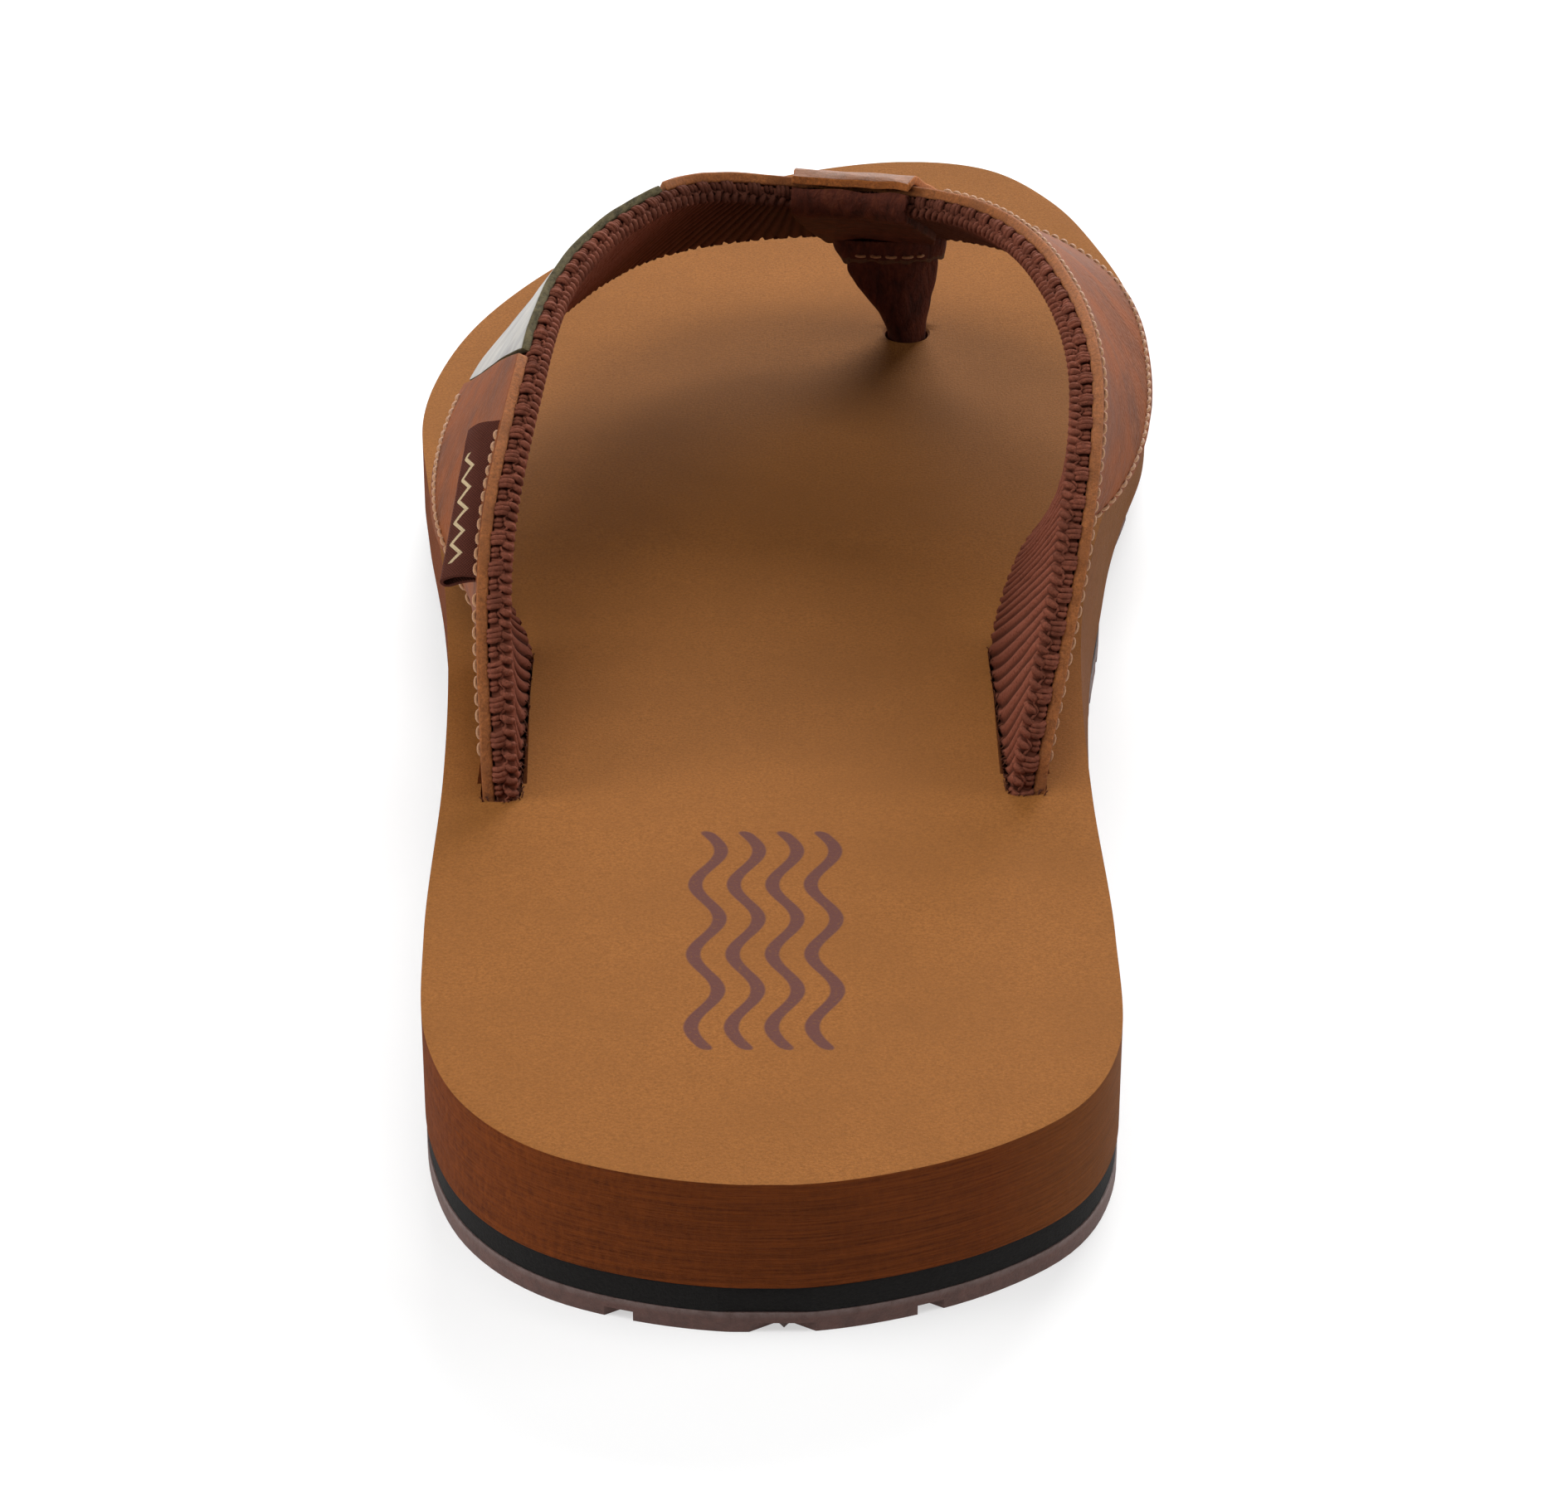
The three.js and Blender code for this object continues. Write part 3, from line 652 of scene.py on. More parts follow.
def patch_material(settings):
    """Satin film printed with soft silver, white and olive patches."""
    s = Surface("printed_film", roughness=0.35, Coat_Weight=0.08, Coat_Roughness=0.2)
    space = s.flat_space((1, 0.45, 1))
    big = s.noise(space, 0.12, detail=3.0, distortion=1.4)
    small = s.noise(space, 0.3, detail=4.0, roughness=0.6, distortion=0.8)
    base = s.blend(s.ramp(big, 0.38, 0.62), tone(settings.film_grey), tone(settings.film_white))
    base = s.blend(s.ramp(small, 0.42, 0.62, 0.0, 0.6), base, tone(settings.film_blue))
    s.colour(s.blend(s.ramp(small, 0.62, 0.7, 0.0, 0.8), base, tone(settings.film_olive)))
    s.bump([(small, 0.15)])
    return s.material


def thread_material(settings):
    s = Surface("thread", roughness=0.7, Sheen_Weight=0.2)
    fibre = s.noise(s.object_space(), 5.0, detail=2.0)
    s.colour(s.shades(s.ramp(fibre, 0.3, 0.7), settings.thread, 0.75, 1.2))
    s.bump([(fibre, 0.1)])
    return s.material


def wrap_material(settings):
    """Napped tan leather on the toe wrap's outer face."""
    s = Surface("toe_wrap_leather", roughness=0.75)
    space = s.object_space()
    clouds = s.noise(space, 0.3, detail=5.0, roughness=0.7)
    fibre = s.noise(space, 2.2, detail=4.0, roughness=0.8)
    base = s.shades(s.ramp(clouds, 0.35, 0.68), settings.wrap, 0.6, 1.15)
    s.colour(s.blend(s.ramp(fibre, 0.35, 0.7, 0.0, 0.5), base, tone(settings.wrap, 1.4)))
    s.bump([(clouds, 0.4), (fibre, 0.25)])
    return s.material


def post_material(settings, name="toe_post_leather"):
    """Dark oiled leather, with rubbed brown ridges."""
    s = Surface(name, roughness=0.7, Specular_IOR_Level=0.15)
    space = s.object_space()
    creases = s.noise(s.object_space((1.3, 1.3, 0.5)), 0.45, detail=6.0, roughness=0.7, distortion=0.5)
    grain = s.noise(space, 2.2, detail=4.0, roughness=0.7)
    base = s.shades(s.ramp(creases, 0.35, 0.68), settings.post, 0.5, 1.6)
    rubbed = s.math("MULTIPLY", s.ramp(creases, 0.52, 0.72), s.ramp(grain, 0.35, 0.65, 0.1, 0.55))
    s.colour(s.blend(rubbed, base, tone(settings.raw_edge)))
    s.bump([(creases, 0.8), (grain, 0.25)])
    return s.material


def tag_material(settings):
    """Fine woven label with a plain zigzag in a paler yarn."""
    s = Surface("label_cloth", roughness=0.9, Specular_IOR_Level=0.1)
    along, across, _ = s.axes(s.flat_space())
    warp = s.math("SINE", s.math("MULTIPLY", along, math.tau / 0.42))
    weft = s.math("SINE", s.math("MULTIPLY", across, math.tau / 0.36))
    weave = s.math("MULTIPLY", warp, weft)
    base = s.shades(s.ramp(weave, -0.6, 0.6), settings.label, 0.7, 1.25)
    s.colour(s.blend(zigzag(s, along, across), base, tone(settings.label_yarn)))
    s.bump([(s.ramp(weave, -1, 1), 0.12)])
    return s.material


def zigzag(s, along, across):
    """Mask of a zigzag that runs the length of the label's outer face."""
    pitch, half_height, half_width, centre = 3.4, 0.7, 0.24, 2.1
    saw = s.math("ABSOLUTE", s.math("SUBTRACT", s.math("FRACT", s.math("DIVIDE", along, pitch)), 0.5))
    path = s.math("ADD", s.math("MULTIPLY", s.math("SUBTRACT", saw, 0.25), 4 * half_height), centre)
    off = s.math("ABSOLUTE", s.math("SUBTRACT", across, path))
    inside = s.math("MULTIPLY", s.ramp(along, 2.0, 2.1), s.ramp(along, 19.4, 19.3))
    return s.math("MULTIPLY", s.ramp(off, half_width + 0.08, half_width), inside)


def washer_material():
    s = Surface("washer_plastic", roughness=0.5)
    grain = s.noise(s.object_space(), 1.5, detail=3.0)
    s.colour(s.blend(grain, (0.01, 0.01, 0.01, 1), (0.03, 0.03, 0.03, 1)))
    s.bump([(grain, 0.05)])
    return s.material


# ---------------------------------------------------------------- sole

def waist(y):
    """1 along the waist and forefoot, 0 round the heel and the toe."""
    return smoothstep((y - 55) / 40) * smoothstep((285 - y) / 40)


def waist_flare(y):
    """How far the sole's foot stands out on the big toe side of the waist."""
    return WAIST_FLARE * smoothstep((y - 75) / 35) * smoothstep((190 - y) / 35)


def sole_layer(bottom_z, thickness, inset=lambda y: 0.0, columns=14, rows=130, *, rim):
    """One layer of the sole that follows its outline and toe spring."""
    bm = slab(columns, rows)
    for v in bm.verts:
        sweep = (1 - math.cos(math.pi * (v.co.y + 0.5))) / 2
        margin = 0.05 + (inset(0) if sweep < 0.5 else inset(TOE_TIP[1]))
        y = round(mix(margin, TOE_TIP[1] - margin, sweep), 6)
        lateral_x = OUTLINE.edge_x(0, y) + inset(y)
        medial_x = OUTLINE.edge_x(1, y) - inset(y)
        if v.co.z < 0.5 or bottom_z < FOOTBED_Z:
            flare = waist_flare(y)
            medial_x += flare + max(0.0, inset(y) - inset(0)) * flare / WAIST_FLARE
        z = bottom_z + spring(y) + v.co.z * thickness(y)
        v.co = placed(Vector((mix(lateral_x, medial_x, v.co.x + 0.5), y, z)))
    round_edges(bm, rim * MM)
    return bm


def cutting_block(width, length, height, corner, turn, place):
    """A block with rounded upright corners, turned about Z and centred on place."""
    bm = bmesh.new()
    bmesh.ops.create_cube(bm, size=1)
    bmesh.ops.scale(bm, verts=bm.verts[:], vec=(width * MM, length * MM, height * MM))
    upright = [e for e in bm.edges if abs((e.verts[0].co - e.verts[1].co).normalized().z) > 0.9]
    bmesh.ops.bevel(
        bm, geom=upright, offset=corner * MM, segments=4, profile=0.5, affect="EDGES", material=-1,
    )
    bmesh.ops.rotate(bm, verts=bm.verts[:], cent=(0, 0, 0), matrix=Matrix.Rotation(turn, 3, "Z"))
    bmesh.ops.translate(bm, verts=bm.verts[:], vec=placed(Vector(place)))
    return bm


def slot_cutters(pair, inward):
    """The slot for one end of the strap, its soft rim, and the recess below for the folded tail."""
    rear, front = Vector(pair[0]), Vector(pair[1])
    middle = (rear + front) / 2
    turn = math.atan2(rear.x - front.x, front.y - rear.y)
    length = (front - rear).length + 2 * SLOT_END_MARGIN
    width = SLOT_INNER_SIDE + SLOT_OUTER_SIDE
    centre_x = middle.x + inward * (SLOT_INNER_SIDE - SLOT_OUTER_SIDE) / 2
    top_z = FOOTBED_Z + footbed_thickness(middle.y)
    through = 40  # taller than the footbed is thick
    slot = cutting_block(width, length, through, SLOT_CORNER, turn, (centre_x, middle.y, 3 * FOOTBED_Z))
    rim = cutting_block(width, length, 1.0, SLOT_CORNER, turn, (centre_x, middle.y, top_z))
    upper = [v for v in rim.verts if v.co.z > top_z * MM]
    lower = [v for v in rim.verts if v.co.z <= top_z * MM]
    centre = placed(Vector((centre_x, middle.y, 0)))
    bmesh.ops.scale(rim, verts=upper, vec=(1.22, 1.04, 1), space=Matrix.Translation(-centre))
    bmesh.ops.scale(rim, verts=lower, vec=(0.9, 0.99, 1), space=Matrix.Translation(-centre))
    tail, spare = TAIL_STEPS[-1][0], 5
    recess_at = (middle.x + inward * tail / 2, middle.y, FOOTBED_Z)
    recess = cutting_block(tail + spare, length + 2, TAIL_RECESS_HEIGHT, 1.0, 0.0, recess_at)
    return [slot, rim, recess]


def round_cutter(low_radius, high_radius, height, z):
    bm = bmesh.new()
    bmesh.ops.create_cone(
        bm, cap_ends=True, segments=48, radius1=low_radius * MM, radius2=high_radius * MM, depth=height * MM,
    )
    bmesh.ops.translate(bm, verts=bm.verts[:], vec=placed(Vector((POST_FOOT["x"], POST_FOOT["y"], z))))
    return bm


def tread_cutters():
    """Chevron grooves across the outsole, left out under the heel pad: one solid for each side."""
    pitch, width, length, depth, angle, pad_radius = 13, 2.6, 75, 1.2, 0.55, 19
    pad = Vector((0, 45))
    sides = []
    for side in (-1, 1):
        bars = []
        for k in range(25):
            y = -12 + pitch * k
            middle = Vector((side * length / 2 * math.cos(angle), y - length / 2 * math.sin(angle)))
            if (Vector((0, y)) - pad).length < pad_radius or (middle - pad).length < pad_radius:
                continue
            height = 2 * (depth + spring(middle.y + 20))
            bar = cutting_block(length, width, height, 0.5, -side * angle, (middle.x, middle.y, 0))
            bars.append(mesh_of("bar", bar))
        sides.append(joined(bars))
    return sides


def slot_fibres(pair, inward, count=46):
    """Short fibres of ground foam that stand round the inner side and the rear end of a slot."""
    rear, front = Vector(pair[0]), Vector(pair[1])
    top_z = FOOTBED_Z + footbed_thickness(rear.y)
    rng = Random(11)
    paths = []
    for k in range(count):
        share = (k / count) ** 1.6
        root = rear.lerp(front, share) + Vector((inward * SLOT_INNER_SIDE, 0, 0))
        if k % 5 == 0:
            root = rear + Vector((inward * rng.uniform(-1.5, 3.0), -SLOT_END_MARGIN, 0))
        root.z = top_z - 0.25
        tip = Vector((rng.uniform(-0.9, 0.3) * inward, rng.uniform(-0.6, 0.9), rng.uniform(0.2, 0.9)))
        bend = Vector((rng.uniform(-0.2, 0.2), rng.uniform(-0.2, 0.2), 0.25))
        paths.append([placed(root), placed(root + tip / 2 + bend), placed(root + tip)])
    return paths


def colour_setting(name, description, default):
    return bpy.props.FloatVectorProperty(
        name=name, description=description, subtype="COLOR", default=default)


class FLIPFLOP_PG_sole(bpy.types.PropertyGroup):
    """Colours of the sole."""

    foam: colour_setting("Foam", "Brushed top of the footbed", (0.29, 0.110, 0.0255))
    # The wall colour is darker than the foam's top partly as painted shade, standing in for the dim light on
    # the sole's walls.
    foam_wall: colour_setting("Foam Wall", "Ground side of the footbed", (0.15, 0.034, 0.005))
    foam_wall_inner: colour_setting(
        "Foam Wall, Inner Side", "Olive-tan of the wall on the big toe side", (0.24, 0.105, 0.03))
    ink: colour_setting("Ink", "Print under the heel", (0.12, 0.047, 0.041))
    midsole: colour_setting("Midsole", "Thin dark foam layer", (0.006, 0.005, 0.0045))
    rubber: colour_setting("Rubber", "Outsole", (0.10, 0.042, 0.031))
    # The paler bead along the outsole's upper rim is partly dust and partly a painted highlight.
    rubber_dust_and_highlight: colour_setting("Dust", "Dusty bead along the outsole", (0.17, 0.12, 0.11))


class FLIPFLOP_OT_footbed(bpy.types.Operator):
    """Build the footbed with its slots and toe hole"""

    bl_idname = "flipflop.footbed"
    bl_label = "Footbed"

    def execute(self, context):
        material = foam_material(context.scene.flipflop_sole)
        bm = sole_layer(FOOTBED_Z, footbed_thickness, columns=30, rows=190, rim=0.55)
        piece = finish_piece("footbed_foam", bm, [material], slot="footbed_foam", replaces=["footbed"])
        cutters = [*slot_cutters(STRAP_STATIONS[0], 1), *slot_cutters(STRAP_STATIONS[-1], -1)]
        top_z = FOOTBED_Z + spring(POST_FOOT["y"]) + footbed_thickness(POST_FOOT["y"])
        cutters += [
            round_cutter(HOLE_RADIUS, HOLE_RADIUS, 60, 20),
            round_cutter(HOLE_RADIUS - 0.4, HOLE_RADIUS + 1.0, 1.2, top_z),
            round_cutter(ANCHOR_RECESS[0], ANCHOR_RECESS[0], ANCHOR_RECESS[1], FOOTBED_Z),
        ]
        for cutter in cutters:
            cut(piece, cutter)
        piece.data.set_sharp_from_angle(angle=math.radians(40))
        fibres = slot_fibres(STRAP_STATIONS[0], 1) + slot_fibres(STRAP_STATIONS[-1], -1)
        fibre_mesh = tubes("slot_fibres", fibres, 0.09 * MM, sides=0)
        fibre_material = raw_edge_material(context.scene.flipflop_sole.foam_wall, "foam_fibre")
        piece_from_mesh("slot_fibres", fibre_mesh, [fibre_material], slot="footbed_foam")
        return {"FINISHED"}


class FLIPFLOP_OT_lower_layers(bpy.types.Operator):
    """Build the dark foam midsole and the rubber outsole with its tread"""

    bl_idname = "flipflop.lower_layers"
    bl_label = "Midsole and Outsole"

    def execute(self, context):
        settings = context.scene.flipflop_sole
        middle = sole_layer(MIDSOLE_Z - 0.15, lambda y: MIDSOLE_THICKNESS + 0.3,
                            inset=lambda y: 0.25 + 0.9 * waist(y), rim=0.3)
        finish_piece("midsole_foam", middle, [midsole_material(settings)], slot="midsole_foam",
                     replaces=["midsole"], sharp=math.radians(50))
        rubber = sole_layer(0.0, lambda y: OUTSOLE_THICKNESS, inset=lambda y: 0.1 + 1.6 * waist(y), rim=0.6)
        outsole = finish_piece("outsole_rubber", rubber, [outsole_material(settings)], slot="outsole_rubber",
                               replaces=["outsole"])
        for cutter in tread_cutters():
            cut(outsole, cutter)
        outsole.data.set_sharp_from_angle(angle=math.radians(40))
        return {"FINISHED"}


# ---------------------------------------------------------------- strap

def flat_strip(length, width, thickness, columns, rows, rim):
    """A flat strip in millimetres with rounded edges: x along, y across, z up."""
    bm = slab(rows, columns)
    bmesh.ops.translate(bm, verts=bm.verts[:], vec=(0.5, 0.5, 0))
    bmesh.ops.scale(bm, verts=bm.verts[:], vec=(length, width, thickness))
    round_edges(bm, rim)
    for face in bm.faces:
        face.material_index = 0 if face.normal.z > 0.93 else 1
    return bm


def lay_on_strap(bm, place):
    """Bends a flat strip onto the strap: place(vertex) gives its station, share across and height."""
    uv = bm.loops.layers.uv.new("flat")
    spots = {v: place(v) for v in bm.verts}
    for face in bm.faces:
        for loop in face.loops:
            station, w, _ = spots[loop.vert]
            loop[uv].uv = (length_at(station, 0.5) * MM, w * strap_width(station) * MM)
    for v, (station, w, height) in spots.items():
        v.co = placed(on_strap(station, w, height))


def covering(name, spans, thickness, materials, slot, node, rim=0.35):
    """A leather or film facing on the webbing's outer face."""
    rear, front = spans
    length = max(strap_length(rear, 0.0), strap_length(front, 1.0))
    width = strap_width(sum(rear) / 2)
    bm = flat_strip(length, width, thickness, columns=26, rows=int(length / 1.2), rim=rim)

    def place(v):
        w = v.co.y / width
        station = mix(mix(*rear, v.co.x / length), mix(*front, v.co.x / length), w)
        ripple = 0.12 * noise.noise(v.co * 0.12)
        wander = 0.22 * (2 * w - 1) * noise.noise(Vector((v.co.x * 0.22, 7.0 * round(w), 0.5))) / width
        return station, w + wander, FACE_GAP - 0.1 + v.co.z + ripple

    lay_on_strap(bm, place)
    return finish_piece(name, bm, materials, slot=slot, replaces=[node], sharp=math.radians(60))


def stitch(place):
    """Points of one stitch, from place(step) with step from -1 to 1."""
    return [placed(place(step / STITCH_STEPS)) for step in range(-STITCH_STEPS, STITCH_STEPS + 1)]


def seam_stitches(name, stations, edge, material, node):
    """A row of separate stitches along one edge, each dipping into the leather at both ends."""
    rear = edge == "rear"
    w_edge, inset = (0.0, REAR_SEAM_INSET) if rear else (1.0, FRONT_SEAM_INSET)
    top = FACE_GAP - 0.1 + LEATHER_THICKNESS
    start, end = (length_at(station, w_edge) for station in stations)

    def point(k, along):
        station = station_at(start + (k + 0.5) * STITCH_PITCH + along * STITCH_LENGTH / 2, w_edge)
        offset = (inset + STITCH_LEAN * along) / strap_width(station)
        return on_strap(station, offset if rear else 1 - offset, top + 0.2 - 0.5 * along**4)

    count = int((end - start) / STITCH_PITCH)
    paths = [stitch(lambda along, k=k: point(k, along)) for k in range(count)]
    mesh = tubes(name, paths, THREAD_RADIUS * MM)
    return piece_from_mesh(name, mesh, [material], slot="thread", replaces=[node])


def rib_station(u, w):
    """Where the rib that crosses the middle at length u runs: it leans towards the toe at the rear edge."""
    toe = length_at(WRAP_REAR[0], 0.5)
    side = min(max((toe - u) / RIB_TURN_REACH, -1.0), 1.0)
    from_slot = min(u - length_at(0, 0.5), length_at(LAST_STATION, 0.5) - u)
    lean = side * mix(*RIB_LEAN, smoothstep(from_slot / RIB_LEAN_REACH))
    rear_end, front_end = station_at(u + lean / 2, 0.5), station_at(u - lean / 2, 0.5)
    middle = min(max(station_at(u, 0.5), SLOT_BEND), LAST_STATION - SLOT_BEND)
    rear_pace = (1 - w) * (length_at(middle + 0.1, 0.0) - length_at(middle - 0.1, 0.0))
    front_pace = w * (length_at(middle + 0.1, 1.0) - length_at(middle - 0.1, 1.0))
    return (rear_pace * rear_end + front_pace * front_end) / (rear_pace + front_pace)


def webbing_band():
    """The woven band, with slanting ribs raised on its inner face."""
    length, width = ruler(0.5)[-1], strap_width(LAST_STATION / 2)
    rows = int(length / RIB_PITCH * 6)
    bm = flat_strip(length, width, WEBBING_THICKNESS - RIB_DEPTH, columns=10, rows=rows, rim=0.35)
    relief_shade = bm.verts.layers.float.new("relief_shade")
    toe = length_at(WRAP_REAR[0], 0.5)

    def place(v):
        w = v.co.y / width
        ridge = abs(math.sin(math.pi * v.co.x / RIB_PITCH))
        inner = v.co.z < 0.5
        # Painted shade: the ribs' relief fades towards the toe wrap, which darkens the inner face where the
        # strap's underside lies in shade.
        toe_shade = mix(0.2, 1.0, smoothstep(abs(v.co.x - toe) / TOE_SHADE_REACH - 0.3))
        v[relief_shade] = ridge * toe_shade if inner else 0.6
        lump = 0.12 * noise.noise(Vector((v.co.x * 0.6, v.co.y * 1.1, 0.0)))
        drop = RIB_DEPTH * (ridge**0.7 - 1) + lump if inner else 0.0
        inset = mix(0.35, -0.35, w) / width
        height = -FACE_GAP - WEBBING_THICKNESS + v.co.z + (-drop - RIB_DEPTH if inner else RIB_DEPTH)
        return rib_station(v.co.x, w), w + inset, height

    lay_on_strap(bm, place)
    return bm


def edge_yarn(length, w_edge, points):
    """A yarn at the webbing's edge through (along, height, out) points."""
    outward = -1 if w_edge == 0.0 else 1
    path = []
    for along, height, out in points:
        station = station_at(length + along, w_edge)
        w = w_edge + outward * out / strap_width(station)
        path.append(placed(on_strap(station, w, height)))
    return path


def arc(low, high, bulge, drift=0.0, shift=0.0, steps=8):
    """Points of a yarn that bulges out of the edge between heights low and high."""
    points = []
    for k in range(steps + 1):
        turn = math.pi * k / steps
        height = mix(high, low, (1 - math.cos(turn)) / 2)
        points.append((shift + drift * (k / steps - 0.5), height, -0.75 + bulge * math.sin(turn)))
    return points


def woven_edge(w_edge):
    """Yarns that turn round the edge: fat knots by the leather, rib ends inside, and a thin chain between."""
    fat, thin, chain = [], [], []
    start, end = length_at(-1.3, w_edge), length_at(LAST_STATION + 1.3, w_edge)
    period, rng = 4.3, Random(5)
    for k in range(int((end - start) / period)):
        at = start + k * period
        for shift in (-0.62, 0.0, 0.62):
            wobble = rng.uniform(-0.12, 0.12)
            fat.append(edge_yarn(at, w_edge, arc(-1.6, 0.0, 1.3 + wobble - 0.4 * abs(shift), 0.5, shift)))
        for shift in (-0.34, 0.34):
            wobble = rng.uniform(-0.1, 0.1)
            fat.append(edge_yarn(at + period / 2, w_edge, arc(-1.0, -0.2, 0.6 + wobble, 0.3, shift)))
    for k in range(int((end - start) / RIB_PITCH)):
        wobble = rng.uniform(-0.12, 0.12)
        thin.append(edge_yarn(start + k * RIB_PITCH, w_edge, arc(-2.55, -1.5, 0.85 + wobble, -0.7)))
    steps = int((end - start) / 0.36)
    for k in range(steps + 1):
        swing = math.sin(math.tau * k / 6)
        height, out = -1.5 + 0.32 * swing, -0.05 + 0.22 * math.sin(math.tau * k / 3)
        chain.extend(edge_yarn(start + (end - start) * k / steps, w_edge, [(0.0, height, out)]))
    return [(fat, 0.37), (thin, 0.46), ([chain], 0.17)]


class FLIPFLOP_PG_strap(bpy.types.PropertyGroup):
    """Colours of the strap."""

    webbing: colour_setting("Webbing", "Woven band", (0.225, 0.070, 0.041))
    leather: colour_setting("Leather", "Waxed leather facing", (0.20, 0.058, 0.019))
    # The paler leather tone is partly rubbed wear and partly painted sheen.
    leather_bloom_and_sheen: colour_setting("Leather Bloom", "Paler rubbed leather", (0.25, 0.092, 0.04))
    raw_edge: colour_setting("Cut Edge", "Raw leather edge", (0.42, 0.135, 0.031))
    thread: colour_setting("Thread", "Sewing thread", (0.40, 0.19, 0.08))
    film_white: colour_setting("Film White", "Palest tone of the printed patch", (0.26, 0.23, 0.18))
    film_grey: colour_setting("Film Grey", "Silver tone of the printed patch", (0.075, 0.055, 0.04))
    film_blue: colour_setting("Film Blue", "Blue-grey tone of the printed patch", (0.12, 0.11, 0.10))
    film_olive: colour_setting("Film Olive", "Olive tone of the printed patch", (0.075, 0.06, 0.028))


class FLIPFLOP_OT_webbing(bpy.types.Operator):
    """Build the woven band that runs from slot to slot, with its plaited edges"""

    bl_idname = "flipflop.webbing"
    bl_label = "Webbing"

    def execute(self, context):
        settings = context.scene.flipflop_strap
        material = webbing_material(settings)
        finish_piece("webbing_band", webbing_band(), [material, material], slot="webbing",
                     replaces=["strap_webbing"], sharp=math.radians(70))
        yarn = braid_material(settings)
        for name, w_edge in (("webbing_rear_edge", 0.0), ("webbing_front_edge", 1.0)):
            yarns = [tubes(name, paths, radius * MM, sides=1) for paths, radius in woven_edge(w_edge)]
            finish_piece(name, joined(yarns), [yarn], slot="webbing")
        return {"FINISHED"}


class FLIPFLOP_OT_facings(bpy.types.Operator):
    """Build the leather facings, the printed patch and their stitches"""

    bl_idname = "flipflop.facings"
    bl_label = "Leather Facings"

    def execute(self, context):
        settings = context.scene.flipflop_strap
        leather = leather_material(settings)
        edge = raw_edge_material(settings.raw_edge, "leather_cut_edge")
        covering("lateral_facing", LATERAL_LEATHER, LEATHER_THICKNESS, [leather, edge], "strap_leather",
                 "lateral_leather")
        covering("medial_facing", MEDIAL_LEATHER, LEATHER_THICKNESS, [leather, edge], "strap_leather",
                 "medial_leather")
        film, film_edge = patch_material(settings), film_edge_material(settings)
        covering("printed_patch", PATCH, PATCH_THICKNESS, [film, film_edge], "printed_film",
                 "print_patch", rim=0.25)
        thread = thread_material(settings)
        rows = [
            ("lateral_rear_stitches", (0.2, 0.88), "rear", "lateral_rear_thread"),
            ("lateral_front_stitches", (0.5, 3.3), "front", "lateral_front_thread"),
            ("medial_rear_stitches", (7.35, 11.9), "rear", "medial_rear_thread"),
            ("medial_front_stitches", (6.85, 11.7), "front", "medial_front_thread"),
        ]
        for name, stations, side, node in rows:
            seam_stitches(name, stations, side, thread, node)
        return {"FINISHED"}


# ---------------------------------------------------------------- toe

def wrap_section(width):
    """The wrap's inner face round the strap, from its cut end on top to the one tucked below."""
    top, low = FACE_GAP + LEATHER_THICKNESS, -FACE_GAP - WEBBING_THICKNESS - 0.15
    points = [(-1.9, 0.35), (-0.9, 1.05), (0.5, top - 0.05)]
    points += [(width * k / 5, top) for k in range(1, 5)]
    turn = [(-0.8, top - 0.05), (0.5, top - 0.8), (0.7, -0.6), (0.3, low + 0.9), (-1.0, low)]
    points += [(width + beyond, height) for beyond, height in turn]
    points += [(width * k / 5, low - 0.1) for k in range(4, 0, -1)]
    points += [(2.2, low), (0.5, low + 0.25), (-0.5, low + 1.0), (-0.8, -1.0), (-0.8, -0.1)]
    return [Vector((0, across, height)) for across, height in points]


def wrap_skin(points, t, out):
    """A point of the wrap: t along its section, raised off the strap by out."""
    t = min(max(t, 0.01), len(points) - 1.01)
    run = smooth_point(points, t + 0.01) - smooth_point(points, t - 0.01)
    return smooth_point(points, t) + Vector((0, -run.z, run.y)).normalized() * out


class FLIPFLOP_PG_toe(bpy.types.PropertyGroup):
    """Colours of the toe wrap, toe post and label."""

    wrap: colour_setting("Wrap", "Outer face of the toe wrap", (0.24, 0.092, 0.036))
    post: colour_setting("Post", "Dark leather of the toe post", (0.085, 0.0185, 0.009))
    raw_edge: colour_setting("Rubbed Post", "Rubbed leather at the foot of the post", (0.12, 0.042, 0.012))
    cut_edge: colour_setting("Wrap Edge", "Raw cut edge of the toe wrap", (0.60, 0.19, 0.035))
    label: colour_setting("Label", "Label cloth", (0.085, 0.024, 0.015))
    label_yarn: colour_setting("Label Yarn", "Pale yarn of the label's zigzag", (0.55, 0.42, 0.25))


